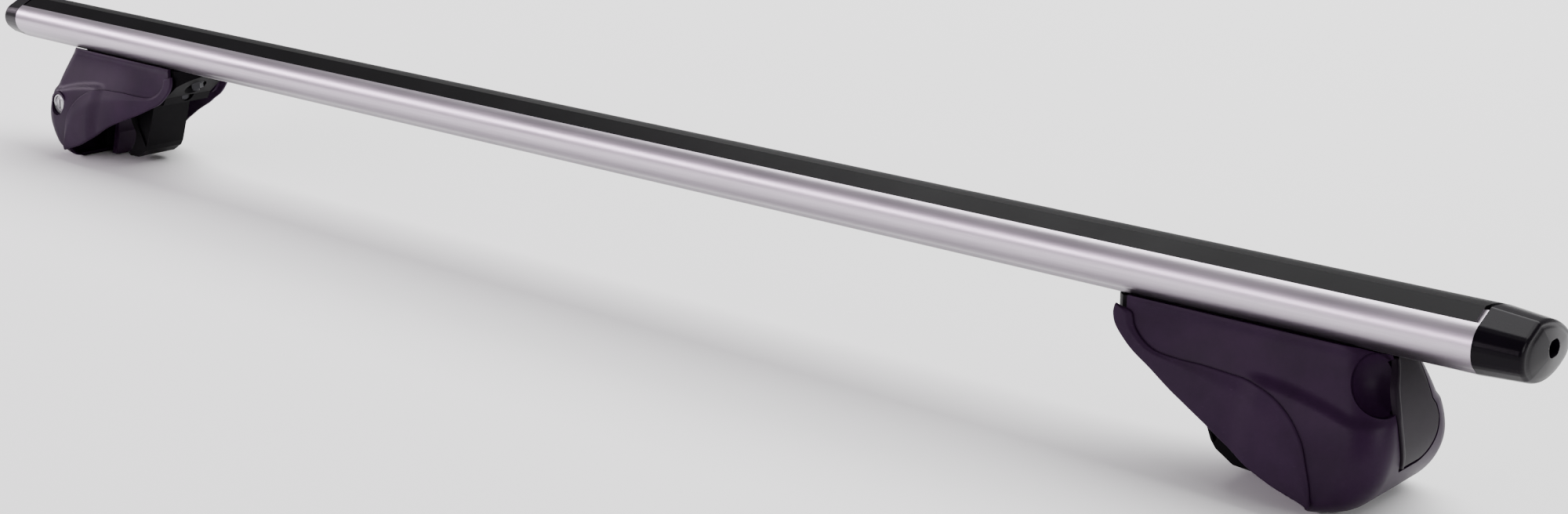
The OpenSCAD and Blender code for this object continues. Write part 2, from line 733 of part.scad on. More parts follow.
module housing() {
    color(plum_plastic) difference() {
        union() {
            difference() {
                housing_wall_shell();
                lid_opening();
            }
            housing_floor();
            lock_sleeve();
            guide_shelf();
            scoop_wall();
        }
        along_y(lock_x, -lock_depth, 0, through, lock_radius + running_gap);
        for (y = guide_places)
            along_x(y, guide_depth, shelf_front - shelf_thickness - 1, shelf_front + 1, pin_radius + shelf_play);
        finger_scoop(0);
        bar_room(top_gap);
    }
}

// A skirt lies on the housing's side and runs on below it to its free edge
skirt_columns = 30;
skirt_rows = 6;
function skirt_point(i, k, lift) = let (
        s = i / (skirt_columns - 1),
        v = k / (skirt_rows - 1),
        a = spline_at(skirt_line, s),
        b = spline_at(hem_line, s),
        p = mix(a, b, v),
        base = side_y_skirt(p[0], p[1]))
    [p[0], -(base + lift), -p[1]];
// The skirt follows the housing's side, and below the lap the side without its lower rounding
function side_y_skirt(x, depth) = side_y(x, min(depth, foot_drop - lower_round));
function skirt_lift(k) = skirt_gap + mix(skirt_edge, skirt_thickness, smooth(3 * k / (skirt_rows - 1)));

module skirt(side) {
    outer = [for (i = [0:skirt_columns - 1]) [for (k = [0:skirt_rows - 1])
        skirt_point(i, k, skirt_lift(k))]];
    inner = [for (i = [0:skirt_columns - 1]) [for (k = [0:skirt_rows - 1])
        skirt_point(i, k, skirt_gap)]];
    color(plum_rubber) mirror([0, side > 0 ? 1 : 0, 0])
        shell(outer, inner, skirt_columns, skirt_rows);
}

// Face of the nose at a place across and a depth
function nose_face(y, depth) = let (
        flat = side_y(corner_x(depth), depth) - corner_radius,
        over = min(max(abs(y) - flat, 0), corner_radius))
    corner_x(depth) + sqrt(corner_radius * corner_radius - over * over);

lid_columns = 12;
lid_rows = 14;
// Raised rib along the lid's front edge
function lid_rib(y, depth) = 1.1 * (1 - smooth((y - lid_from(depth) - 2.2) / 2.4));
module access_lid() {
    outer = [for (i = [0:lid_columns - 1]) [for (k = [0:lid_rows - 1])
        let (d = mix(lid_top, lid_bottom + 0.5, k / (lid_rows - 1)),
             from = lid_from(d) - 0.5,
             to = lid_to(d) + 0.8,
             y = from + (to - from) * pow(i / (lid_columns - 1), 1.4))
        [nose_face(y, d) + lid_rib(y, d), y, -d]]];
    inner = [for (column = outer) [for (p = column)
        [nose_face(p[1], -p[2]) - lid_thickness, p[1], p[2]]]];
    lug_x = lock_x + 4;
    lug_y = 8.7;
    color(lid_grey) difference() {
        union() {
            intersection() {
                shell(outer, inner, lid_columns, lid_rows);
                rotate([90, 0, 90]) linear_extrude(through) lid_panel(0, 0, 0.01);
            }
            // Bosses for the guide pins
            for (y = guide_places)
                along_x(y, guide_depth, shelf_front + 0.5, nose_face(y, guide_depth) - 1, pin_boss);
            // Hook that the lock's finger comes down in front of
            translate([lug_x, lug_y, -lock_depth - 1.5]) cube([nose_face(10, lock_depth) - 1 - lug_x, 3, 3]);
            translate([lug_x, lug_y, -lock_depth - 1.5]) cube([2, 8.3, 3]);
        }
        for (y = guide_places)
            along_x(y, guide_depth, shelf_front - 1, nose_face(y, guide_depth) - pin_cover, pin_radius + 0.02);
    }
}

pin_cover = 2.2;
module lid_pins() {
    color(zinc) for (y = guide_places)
        along_x(y, guide_depth, shelf_front - pin_reach, nose_face(y, guide_depth) - pin_cover - 0.2, pin_radius);
}

cam_spindle = 3;
module lock_cylinder() {
    color(zinc) difference() {
        union() {
            along_y(lock_x, -lock_depth, lock_face_y - lock_length, lock_face_y, lock_radius);
            along_y(lock_x, -lock_depth, lock_face_y - lock_length - 2.4, lock_face_y - lock_length + 0.1,
                cam_spindle);
        }
        // Key slot
        translate([lock_x - 0.8, lock_face_y - 6, -lock_depth - 4]) cube([1.6, 8, 8]);
    }
}

// Cam at rest: its finger points up and leaves the lid's hook free
module lock_cam() {
    plate = 2;
    reach = 12.5;
    cam_half = 3.5;
    finger_y = 12.2;
    plate_y = lock_face_y - lock_length - plate - 0.2;
    color(zinc) difference() {
        union() {
            along_y(lock_x, -lock_depth, plate_y, plate_y + plate, 6);
            translate([lock_x - cam_half, plate_y, -lock_depth]) cube([2 * cam_half, plate, reach]);
            translate([lock_x - cam_half, finger_y, reach - 5.5 - lock_depth])
                cube([2 * cam_half, plate_y + plate - finger_y, 5.5]);
        }
        along_y(lock_x, -lock_depth, plate_y - 1, plate_y + plate + 1, cam_spindle + 0.02);
    }
}

// Room for the bar's underside
module bar_room(gap) {
    translate([-through / 2, 0, belly_radius - belly_depth]) rotate([0, 90, 0])
        cylinder(r = belly_radius + gap, h = through, $fn = 360);
}

// Plan of a foot's inner parts: straight sides and a round inboard end
module round_end(radius) {
    translate([end_radius - 84, 0, -through / 2]) {
        cylinder(r = radius, h = through, $fn = fine);
        translate([0, -radius, 0]) cube([through, 2 * radius, through]);
    }
}

saddle_from = -78;
saddle_to = thrust_x;
saddle_half = 16.4;
end_radius = 24;
module saddle_pad() {
    color(black_rubber) difference() {
        intersection() {
            translate([saddle_from, 0, 0]) rotate([90, 0, 90]) linear_extrude(saddle_to - saddle_from)
                difference() {
                    translate([-saddle_half, -carrier_top]) square([2 * saddle_half, carrier_top]);
                    translate([0, belly_radius - belly_depth])
                        circle(r = belly_radius + saddle_gap, $fn = 360);
                }
            round_end(end_radius - 3);
        }
        for (x = [-tee_inboard, tee_outboard])
            translate([x, 0, -carrier_top - 1]) cylinder(r = tee_radius + 1, h = carrier_top + 2, $fn = round_fn);
    }
}

nut_pocket = 8;
module carrier() {
    low_web = carrier_top + web;
    color(black_plastic) difference() {
        intersection() {
            translate([0, carrier_half, 0]) rotate([90, 0, 0]) linear_extrude(2 * carrier_half) polygon([
                [-84, -rim_top], [-84, -carrier_top], [-60, -24], [-56, -carrier_low], [leg_x, -carrier_low],
                [leg_x, -leg_low], [leg_x + leg_thickness, -leg_low],
                [leg_x + leg_thickness, -carrier_low - 8], [thrust_x, -carrier_low - 1],
                [thrust_x, -rim_top]
            ]);
            round_end(end_radius);
        }
        // Bed of the saddle, between the two rims and inside the round end
        intersection() {
            translate([-through / 2, -saddle_half - 0.1, -carrier_top]) cube([through, 2 * saddle_half + 0.2, through]);
            round_end(end_radius - 2.8);
        }
        bar_room(saddle_gap + 0.1);
        // Guide slot for the jaw's tongue
        translate([-40.5 - jaw_open, -guide_half, -through - low_web])
            cube([50.5 + jaw_open, 2 * guide_half, through]);
        // Outer leg is narrower than the block above it
        for (side = [-1, 1])
            translate([leg_x - 1, side > 0 ? 14 : -through - 14, -through - carrier_low - 9])
                cube([20, through, through]);
        // Clamp bolt
        translate([-53, 0, -clamp_depth]) rotate([0, 90, 0])
            cylinder(r = clamp_radius + running_gap, h = through, $fn = round_fn);
        translate([-60, 0, -clamp_depth]) rotate([0, 90, 0])
            cylinder(r = clamp_radius + 1, h = 8, $fn = round_fn);
        // Tee bolts and the pockets for their nuts
        for (x = [-tee_inboard, tee_outboard]) {
            translate([x, 0, -through / 2]) cylinder(r = tee_radius + 0.3, h = through, $fn = round_fn);
            translate([x, 0, -through - low_web]) cylinder(r = nut_pocket, h = through, $fn = round_fn);
        }
        // Slots beside the jaw's shoulders
        for (side = [-1, 1])
            translate([-52, side * 13.5 - 1.2, -carrier_low - 1]) cube([50, 2.4, 3]);
    }
}

// Pad on the outer leg, flared towards its foot
module outer_pad() {
    low = foot_drop - 0.2;
    high = 56;
    narrow = 4;
    thick = 3.4;
    color(plum_rubber) difference() {
        translate([leg_x, 0, 0]) rotate([90, 0, -90]) linear_extrude(thick + 2.4) polygon([
            [-pad_half, -low], [pad_half, -low], [narrow + 1, -high], [narrow, -high + 16],
            [-narrow, -high + 16], [-narrow - 1, -high]
        ]);
        // Hollow of the rail side
        along_y(leg_x - thick - 23, -57, -pad_half - 1, pad_half + 1, 22, fine);
    }
}

rail_pad_from = 12;
module rail_pad() {
    thick = 5;
    pitch = 5;
    color(black_rubber) difference() {
        translate([rail_pad_from, -jaw_half, -carrier_low - thick])
            cube([leg_x - rail_pad_from - 3, 2 * jaw_half, thick]);
        for (i = [0:2])
            along_y(rail_pad_from + 3.4 + pitch * i, -carrier_low - thick, -jaw_half - 1, jaw_half + 1, 1.2);
        // Room for the tee nut, open towards the outer leg
        translate([tee_outboard, 0, -carrier_low - thick - 1]) {
            cylinder(r = nut_pocket, h = thick + 2, $fn = round_fn);
            translate([0, 2 - nut_pocket, 0]) cube([leg_x, 2 * nut_pocket - 4, thick + 2]);
        }
    }
}

// Jaw, drawn in the middle of its travel and shifted by its setting
hollow_x = 4;
hollow_depth = jaw_low - 22.5;
module jaw_side() {
    difference() {
        polygon([
            [-47, -carrier_low - slide_gap - 1], [-33, -66], [-30, -70], [-20, -jaw_low + 0.6],
            [-9, -jaw_low], [-6, -jaw_low + 2], [-12, -carrier_low - slide_gap - 1]
        ]);
        translate([hollow_x, -hollow_depth]) circle(r = jaw_hollow + jaw_rubber, $fn = fine);
    }
}

// Steel hook inside the jaw: tongue in the carrier's guide, shank and turned-in foot
tongue_top = 14;
module hook_side(gap) {
    t = hook_thickness;
    polygon([
        [-40 - gap, -tongue_top + gap], [-40 + 12 + gap, -tongue_top + gap],
        [-28 + gap, -carrier_low - 6], [-26.5 + gap, -60 + gap], [-20 + gap, -68 + gap],
        [-10 + gap, -71.5 + gap], [-10 + gap, -71.5 - t / 2 - gap], [-21.5 - gap, -68 - t - gap],
        [-26.5 - t - gap, -61], [-32 - gap, -carrier_low - 6], [-40 - gap, -carrier_low - 1]
    ]);
}

hook_half = 7;
module jaw_hook() {
    color(dark_steel) difference() {
        translate([0, hook_half, 0]) rotate([90, 0, 0]) linear_extrude(2 * hook_half) intersection() {
            hook_side(0);
            union() {
                jaw_side();
                translate([-60, -carrier_low - 2]) square([60, carrier_low]);
            }
        }
        translate([-60, 0, -clamp_depth]) rotate([0, 90, 0])
            cylinder(r = clamp_radius + 0.4, h = 60, $fn = round_fn);
        // Seat of the captive nut
        translate([-37, -7.2, -clamp_depth - 7.2]) cube([6.6, 14.4, 14.4]);
    }
}

module jaw_block() {
    color(black_plastic) difference() {
        translate([0, jaw_half, 0]) rotate([90, 0, 0]) linear_extrude(2 * jaw_half) jaw_side();
        translate([0, hook_half + hook_gap, 0]) rotate([90, 0, 0])
            linear_extrude(2 * (hook_half + hook_gap)) hook_side(hook_gap);
        // Tapered relief on both sides of the block
        for (side = [-1, 1])
            mirror([0, side > 0 ? 1 : 0, 0]) translate([0, -jaw_half + 1.4, 0]) rotate([90, 0, 0])
                linear_extrude(4) polygon([[-44, -34], [-31, -67], [-22, -52], [-20, -34]]);
    }
}

module jaw_pad() {
    color(black_rubber) translate([0, jaw_half - 2, 0]) rotate([90, 0, 0])
        linear_extrude(2 * jaw_half - 4) difference() {
            intersection() {
                translate([hollow_x, -hollow_depth]) circle(r = jaw_hollow + jaw_rubber - 0.02, $fn = fine);
                translate([-30, -73]) square([22, 38]);
            }
            translate([hollow_x, -hollow_depth]) circle(r = jaw_hollow, $fn = fine);
        }
}

module clamp_nut() {
    color(zinc) translate([-36.9, 0, -clamp_depth]) rotate([0, 90, 0]) difference() {
        cylinder(r = 7, h = 6.4, $fn = 6);
        translate([0, 0, -1]) cylinder(r = clamp_radius + running_gap, h = 9, $fn = round_fn);
    }
}

washer_thickness = 1.6;
module clamp_bolt() {
    color(zinc) translate([0, 0, -clamp_depth]) rotate([0, 90, 0]) difference() {
        union() {
            translate([0, 0, -clamp_tip])
                cylinder(r = clamp_radius, h = clamp_tip + thrust_x + washer_thickness + 0.2, $fn = round_fn);
            translate([0, 0, thrust_x + washer_thickness + 0.1])
                cylinder(r = clamp_head, h = clamp_head_length, $fn = round_fn);
        }
        translate([0, 0, thrust_x + washer_thickness + clamp_head_length - 4])
            cylinder(r = clamp_key / sqrt(3), h = 10, $fn = 6);
    }
}

module thrust_washer() {
    color(zinc) translate([thrust_x, 0, -clamp_depth]) rotate([0, 90, 0]) difference() {
        cylinder(r = clamp_head + 1, h = washer_thickness, $fn = round_fn);
        translate([0, 0, -1]) cylinder(r = clamp_radius + running_gap, h = 4, $fn = round_fn);
    }
}

tee_clearance = 0.1;
tee_end = 19;
module tee_bolts() {
    head_low = slot_lip - belly_depth + tee_clearance;
    color(zinc) for (x = [-tee_inboard, tee_outboard]) {
        translate([x - tee_head_width / 2, -tee_head_length / 2, head_low])
            cube([tee_head_width, tee_head_length, tee_head_height]);
        translate([x, 0, -tee_end]) cylinder(r = tee_radius, h = tee_end + head_low + 1, $fn = round_fn);
    }
}

module tee_nuts() {
    nut_height = 5;
    color(zinc) for (x = [-tee_inboard, tee_outboard])
        translate([x, 0, -carrier_top - web - nut_height]) difference() {
            union() {
                cylinder(r = 5.8, h = nut_height, $fn = 6);
                translate([0, 0, nut_height - 1.2]) cylinder(r = 6.6, h = 1.2, $fn = round_fn);
            }
            translate([0, 0, -1]) cylinder(r = tee_radius + 0.02, h = nut_height + 2, $fn = round_fn);
        }
}

module at_jaw(side) {
    setting = side > 0 ? right_jaw_set : left_jaw_set;
    at_foot(side) translate([setting, 0, 0]) children();
}

bar_profile();
top_strip();
color(black_plastic) at_bar_end(1) end_cap();  // right_end_cap
color(black_plastic) at_bar_end(-1) end_cap();  // left_end_cap
color(zinc) at_bar_end(1) cap_screw();  // right_cap_screw
color(zinc) at_bar_end(-1) cap_screw();  // left_cap_screw

at_foot(1) housing();  // right_housing
at_foot(1) skirt(-1);  // right_front_skirt
at_foot(1) skirt(1);  // right_rear_skirt
at_foot(1) access_lid();  // right_access_lid
at_foot(1) lid_pins();  // right_lid_pins
at_foot(1) lock_cylinder();  // right_lock_cylinder
at_foot(1) lock_cam();  // right_lock_cam
at_foot(1) saddle_pad();  // right_saddle_pad
at_foot(1) carrier();  // right_carrier
at_foot(1) outer_pad();  // right_outer_pad
at_foot(1) rail_pad();  // right_rail_pad
at_jaw(1) jaw_hook();  // right_jaw_hook
at_jaw(1) jaw_block();  // right_jaw_block
at_jaw(1) jaw_pad();  // right_jaw_pad
at_jaw(1) clamp_nut();  // right_clamp_nut
at_foot(1) clamp_bolt();  // right_clamp_bolt
at_foot(1) thrust_washer();  // right_thrust_washer
at_foot(1) tee_bolts();  // right_tee_bolts
at_foot(1) tee_nuts();  // right_tee_nuts

at_foot(-1) housing();  // left_housing
at_foot(-1) skirt(1);  // left_front_skirt
at_foot(-1) skirt(-1);  // left_rear_skirt
at_foot(-1) access_lid();  // left_access_lid
at_foot(-1) lid_pins();  // left_lid_pins
at_foot(-1) lock_cylinder();  // left_lock_cylinder
at_foot(-1) lock_cam();  // left_lock_cam
at_foot(-1) saddle_pad();  // left_saddle_pad
at_foot(-1) carrier();  // left_carrier
at_foot(-1) outer_pad();  // left_outer_pad
at_foot(-1) rail_pad();  // left_rail_pad
at_jaw(-1) jaw_hook();  // left_jaw_hook
at_jaw(-1) jaw_block();  // left_jaw_block
at_jaw(-1) jaw_pad();  // left_jaw_pad
at_jaw(-1) clamp_nut();  // left_clamp_nut
at_foot(-1) clamp_bolt();  // left_clamp_bolt
at_foot(-1) thrust_washer();  // left_thrust_washer
at_foot(-1) tee_bolts();  // left_tee_bolts
at_foot(-1) tee_nuts();  // left_tee_nuts
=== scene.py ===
"""Looks of a roof rack crossbar on two clamping feet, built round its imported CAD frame."""

import json
import math

import bpy
import numpy as np
from bpy.props import FloatProperty, FloatVectorProperty, PointerProperty
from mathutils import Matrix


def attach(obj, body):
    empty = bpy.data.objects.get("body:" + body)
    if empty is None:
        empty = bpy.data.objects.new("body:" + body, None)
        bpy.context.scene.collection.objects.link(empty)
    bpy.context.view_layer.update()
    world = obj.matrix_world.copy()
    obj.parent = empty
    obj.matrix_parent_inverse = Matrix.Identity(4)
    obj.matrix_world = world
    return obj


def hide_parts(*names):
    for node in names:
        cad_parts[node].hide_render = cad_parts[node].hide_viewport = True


bl_info = {
    "name": "Roof Rack Crossbar",
    "version": (1, 0, 0),
    "blender": (4, 5, 0),
    "location": "View3D > Sidebar > Crossbar",
    "description": "Builds the visible surfaces, finishes and studio of a roof rack crossbar",
    "category": "Object",
}

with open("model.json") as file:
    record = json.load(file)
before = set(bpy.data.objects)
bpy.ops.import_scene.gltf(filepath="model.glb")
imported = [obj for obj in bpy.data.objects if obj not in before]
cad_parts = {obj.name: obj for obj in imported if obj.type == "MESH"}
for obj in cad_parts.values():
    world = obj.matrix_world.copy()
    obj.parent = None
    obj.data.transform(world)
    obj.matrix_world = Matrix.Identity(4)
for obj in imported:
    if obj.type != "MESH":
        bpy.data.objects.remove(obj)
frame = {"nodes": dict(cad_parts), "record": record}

# The two feet, each with the way along X in which its nose points
SIDES = (("right", 1.0), ("left", -1.0))
# Sizes below are in millimetres, the scene is in metres
MM = 0.001
# Reach of a cutter that goes right through a piece
FAR = 200.0
# Half the profile's length
BAR_HALF = 600.0
# Half width and depth of the profile's curved underside
BELLY_HALF, BELLY_DEPTH = 20.1, 4.6
# Places across the foot of the lid's two guide pins
GUIDES = (-7.0, 8.0)
# Radii of the lid's lower corners, front and rear
LID_SHARP, LID_WIDE = 3.0, 18.0
# How far the lid's opening is cut above the lid, so that it runs out under the bar
OPENING_RISE = 20
# Wall of the finger pocket's bowl
BOWL_WALL = 2.2


def size_prop(name, description, default, low, high):
    """A size in millimetres that the panel shows."""
    return FloatProperty(name=name, description=description, default=default, min=low, max=high, unit="CAMERA")


def colour_prop(name, description, default):
    """A linear colour that the panel shows."""
    return FloatVectorProperty(
        name=name, description=description, default=default, size=3, min=0.0, max=1.0, subtype="COLOR"
    )


class CrossbarSizes(bpy.types.PropertyGroup):
    """Sizes of the pieces that are drawn here, in millimetres."""

    foot_drop: size_prop("Foot drop", "Height of the bar's lower creases above the ground", 81, 60, 120)
    right_offset: size_prop("Right foot", "Distance of the right foot's centre from the middle", 489, 300, 560)
    left_offset: size_prop("Left foot", "Distance of the left foot's centre from the middle", 475, 300, 560)
    top_half: size_prop("Upper half width", "Half width of the housing at its upper edge", 22, 18, 28)
    side_flare: size_prop("Side flare", "How far the housing's sides flare out", 17, 8, 24)
    flare_depth: size_prop("Flare depth", "Depth at which the sides are widest", 58, 40, 75)
    inboard_end: size_prop("Inboard end", "Distance from the foot's centre to its inboard end", 70, 50, 90)
    nose_reach: size_prop("Nose reach", "Distance from the foot's centre to the tip of its nose", 77, 60, 95)
    nose_depth: size_prop("Nose depth", "Depth at which the nose stands out most", 46, 35, 60)
    nose_lean: size_prop("Nose lean", "How far the nose leans back at its upper edge", 14, 0, 25)
    nose_curve: size_prop("Nose curve", "Radius of the nose's lower curve", 36, 30, 50)
    corner_radius: size_prop("Corner radius", "Radius of the housing's upright corners", 17, 5, 21)
    lower_round: size_prop("Lower rounding", "Height of the rounding along the lower edge", 11, 2, 20)
    crease_step: size_prop("Crease step", "Depth of the step along the crease", 2.2, 0, 4)
    crease_depth: size_prop("Crease depth", "Depth of the crease where it leaves the skirt", 22, 15, 35)
    rim_height: size_prop("Upper rim", "Height of the raised rim along the housing's upper edge", 0.5, 0, 1)
    wall: size_prop("Wall", "Wall of the housing", 2.5, 1, 4)
    top_gap: size_prop("Top gap", "Gap between the housing and the bar's creases", 0.6, 0.2, 2)
    skirt_thickness: size_prop("Skirt thickness", "Thickness of the soft skirts", 2.1, 1, 4)
    skirt_edge: size_prop("Skirt edge", "Thickness left at a skirt's upper edge", 1.1, 0.3, 3)
    skirt_lap: size_prop("Skirt lap", "How far a skirt laps over the housing", 4, 1, 8)
    skirt_gap: size_prop("Skirt gap", "Clearance between a skirt and the housing", 0.25, 0.1, 1)
    lid_front: size_prop("Lid front", "Front edge of the lid where it reaches furthest", -19, -24, -8)
    lid_rim: size_prop("Lid rim", "Width of the housing's rim behind the lid", 17.5, 8, 24)
    lid_top: size_prop("Lid top", "Depth of the lid's upper edge", 6, 2, 15)
    lid_bottom: size_prop("Lid bottom", "Depth of the lid's lower edge", 56.5, 45, 70)
    lid_gap: size_prop("Lid gap", "Gap around the lid", 0.5, 0.2, 1.5)
    lid_sill: size_prop("Lid sill", "Gap under the lid's lower edge", 1.5, 0.5, 3)
    lid_thickness: size_prop("Lid thickness", "Thickness of the lid", 2, 1, 3)
    guide_rise: size_prop("Guide rise", "Height of the lid's guide pins above its lower edge", 6, 4, 8)
    shelf_inset: size_prop("Shelf inset", "How far the guide shelf lies inside the nose", 7.8, 7, 9)
    pin_radius: size_prop("Pin radius", "Radius of the lid's guide pins", 1.25, 1, 2)
    pin_boss: size_prop("Pin boss", "Radius of the bosses round the guide pins", 2.2, 2, 3)
    scoop_radius: size_prop("Pocket radius", "Radius of the finger pocket", 17.3, 10, 25)
    scoop_x: size_prop("Pocket place", "Distance of the pocket's centre from the foot's centre", 71.5, 60, 85)
    scoop_y: size_prop("Pocket offset", "How far the pocket's centre lies to the rear", -24, -35, -10)
    scoop_depth: size_prop("Pocket depth", "Depth of the pocket's centre", 12.2, 5, 25)
    lock_x: size_prop("Lock place", "Distance of the lock's axis from the foot's centre", 56, 40, 65)
    lock_depth: size_prop("Lock depth", "Depth of the lock's axis", 42, 30, 55)
    lock_radius: size_prop("Lock radius", "Radius of the lock's barrel", 8, 5, 10)
    lock_recess: size_prop("Lock recess", "How far the lock's face lies inside the side", 1.4, 0, 4)
    cap_length: size_prop("Cap length", "How far a cap stands out beyond the profile", 25.6, 15, 40)
    cap_drop: size_prop("Cap drop", "How far the cap's face drops", 1.4, 0, 4)
    screw_across: size_prop("Screw place", "How far behind the middle the cap screw lies", 1.4, -5, 5)
    screw_height: size_prop("Screw height", "Height of the cap screw above the lower creases", 12.1, 5, 20)


class CrossbarColours(bpy.types.PropertyGroup):
    """Base colours of the finishes."""

    aluminium: colour_prop("Aluminium", "Satin anodised profile", (0.62, 0.55, 0.63))
    strip: colour_prop("Strip", "Rubber strip in the top slot", (0.0025, 0.0022, 0.0028))
    cap: colour_prop("Cap", "End caps", (0.0022, 0.0012, 0.003))
    housing: colour_prop("Housing", "Foot housings", (0.0165, 0.0058, 0.0205))
    skirt: colour_prop("Skirt", "Soft skirts", (0.019, 0.0076, 0.0235))
    lid: colour_prop("Lid", "Access lids", (0.0082, 0.0048, 0.0092))
    carrier: colour_prop("Carrier", "Carrier and jaw mouldings", (0.0022, 0.0018, 0.0026))
    # Painted light: the outer pads are plum like the housings, set lighter because they sit in shade
    fin: colour_prop("Fin", "Outer pads", (0.032, 0.014, 0.037))
    floor: colour_prop("Floor", "Studio floor", (0.9, 0.9, 0.9))


def smooth(v):
    """Smoothstep of a value or an array."""
    c = np.clip(v, 0.0, 1.0)
    return c * c * (3.0 - 2.0 * c)


def mix(a, b, v):
    """Linear blend."""
    return a + (b - a) * v


def unit(v):
    """Vectors along the last axis at length one."""
    return v / np.maximum(np.linalg.norm(v, axis=-1, keepdims=True), 1e-9)


def eased(count):
    """Places from 0 to 1 that lie closer together at both ends."""
    return 0.5 - 0.5 * np.cos(np.pi * np.linspace(0, 1, count))


def at(formula, *places):
    """One value of a foot's formula as a plain number."""
    return float(formula(*(np.float64(place) for place in places)))


def spline(points, v):
    """Smooth curve through a list of points, at an array of places from 0 to 1."""
    p = np.array(points, float)
    last = len(p) - 1
    i = np.minimum(np.floor(v * last).astype(int), last - 1)
    f = (v * last - i)[..., None]
    p0, p1, p2, p3 = p[np.maximum(i - 1, 0)], p[i], p[i + 1], p[np.minimum(i + 2, last)]
    return 0.5 * (
        2 * p1 + (p2 - p0) * f + (2 * p0 - 5 * p1 + 4 * p2 - p3) * f**2 + (3 * p1 - p0 - 3 * p2 + p3) * f**3
    )


# Upper edge of a skirt, as distance along the foot and depth
SKIRT_LINE = (
    (-73, 6.3), (-66.5, 8.2), (-64, 14.5), (-58, 20.3), (-49.5, 23.6), (-36, 24), (-21, 23.4), (-7, 23.8),
    (6, 24.6), (16, 26.8), (25, 31), (33, 37.3), (39.5, 46), (43, 56), (45.2, 65), (46.2, 72.5),
)
# Free lower edge of a skirt, in the same way
HEM_LINE = (
    (-75.8, 5.4), (-76.4, 10), (-74.5, 15.5), (-69, 21.5), (-62, 27), (-51, 32.3), (-38.5, 38.2), (-26, 43.2),
    (-13, 48.8), (-2, 54.8), (8, 60.5), (17.5, 65.2), (26.5, 69), (35, 71.6), (41, 73.4), (46, 75.2),
)


class Foot:
    """Formulas of a foot's surfaces, in its own frame: X outboard, Y across, depth down, in millimetres."""

    def __init__(self, sizes):
        self.s = sizes

    def nose_x(self, d):
        """Where the nose stands along the foot at a depth."""
        s = self.s
        above = s.nose_reach - s.nose_lean * (np.clip(s.nose_depth - d, 0, None) / s.nose_depth) ** 1.8
        drop = np.clip(s.nose_curve**2 - (d - s.nose_depth) ** 2, 0, None)
        below = s.nose_reach - s.nose_curve + np.sqrt(drop)
        return np.where(d < s.nose_depth, above, below)

    def corner_x(self, d):
        """Where the side ends and the upright corner begins."""
        return self.nose_x(d) - self.s.corner_radius

    def crease_at(self, x):
        """Depth of the crease, which falls towards the nose."""
        return self.s.crease_depth + 0.0025 * np.clip(x, 0, None) ** 2

    def side_y(self, x, d, rounded=True):
        """Half width of the housing: flare, crease and upper rim, less the rounding along the lower edge."""
        s = self.s
        reach = s.inboard_end - 6
        share = 0.3 + 0.7 * np.sin(np.pi / 2 * np.clip((x + reach) / reach, 0, 1)) ** 1.3
        flare = np.sin(np.pi / 2 * np.clip(d / s.flare_depth, 0, 1)) ** 1.34
        step = s.crease_step * smooth(x / 14) * smooth((d - self.crease_at(x) + 1.5) / 4.5)
        v = np.clip((d - s.foot_drop + s.lower_round) / s.lower_round, 0, 1)
        draw = s.lower_round * (1 - np.sqrt(1 - v * v)) if rounded else 0.0
        rim = s.rim_height * np.exp(-(((d - 2.4) / 1.1) ** 2))
        return s.top_half + s.side_flare * share * flare + step + rim - draw

    def wall(self, columns, rows):
        """Grid of points on the housing's outer face, from the front inboard end round the nose and back."""
        s = self.s
        side, corner, nose = columns
        d = self.row_depths(rows)[None, :]
        at_nose = self.corner_x(np.float64(s.nose_depth))
        place = np.linspace(-s.inboard_end, at_nose, side)[:, None]
        x = place + (self.corner_x(d) - at_nose) * smooth((place - 5) / (at_nose - 5))
        front = np.stack([x, -self.side_y(x, d), -d + 0 * x], -1)
        turn = (np.arange(1, corner + 1) / (corner + 1) * np.pi / 2)[:, None]
        cx = self.corner_x(d)
        half = self.side_y(cx, d)
        r = s.corner_radius
        bend = np.stack([cx + r * np.sin(turn), -half + r * (1 - np.cos(turn)), -d + 0 * turn], -1)
        f = np.linspace(-1, 1, nose)[:, None]
        face = np.stack([cx + r + 0 * f, f * (half - r), -d + 0 * f], -1)
        near = np.concatenate([front, bend], 0)
        back = near[::-1] * np.array([1, -1, 1])
        return np.concatenate([near, face, back], 0)

    def row_depths(self, rows):
        """Depths of a grid's rows, closer together near the lower edge."""
        v = np.linspace(0, 1, rows)
        return mix(self.s.top_gap, self.s.foot_drop, 0.6 * v + 0.4 * np.sin(np.pi / 2 * v))

    def nose_face(self, y, d):
        """Where the nose's face stands along the foot, with its upright corners."""
        r = self.s.corner_radius
        cx = self.corner_x(d)
        over = np.clip(np.abs(y) - (self.side_y(cx, d) - r), 0, r)
        return cx + np.sqrt(r * r - over * over)

    def lid_from(self, d):
        """Front edge of the lid."""
        s = self.s
        v = np.clip((d - s.lid_top) / (s.lid_bottom - s.lid_top), 0, 1)
        return s.lid_front + spline(((0, 11), (0, 3), (0, 0), (0, 1), (0, 4.5)), v)[..., 1]

    def lid_to(self, d):
        """Rear edge of the lid."""
        s = self.s
        return self.side_y(self.corner_x(d), d) - mix(0.6 * s.lid_rim, s.lid_rim, smooth(d / 36))


def drawn_in(g, inside):
    """A grid of the housing's face drawn in level, so that the crease and the rounding never fold over."""
    along = np.gradient(g, axis=0)
    return g - inside * unit(np.stack([along[..., 1], -along[..., 0], 0 * along[..., 0]], -1))


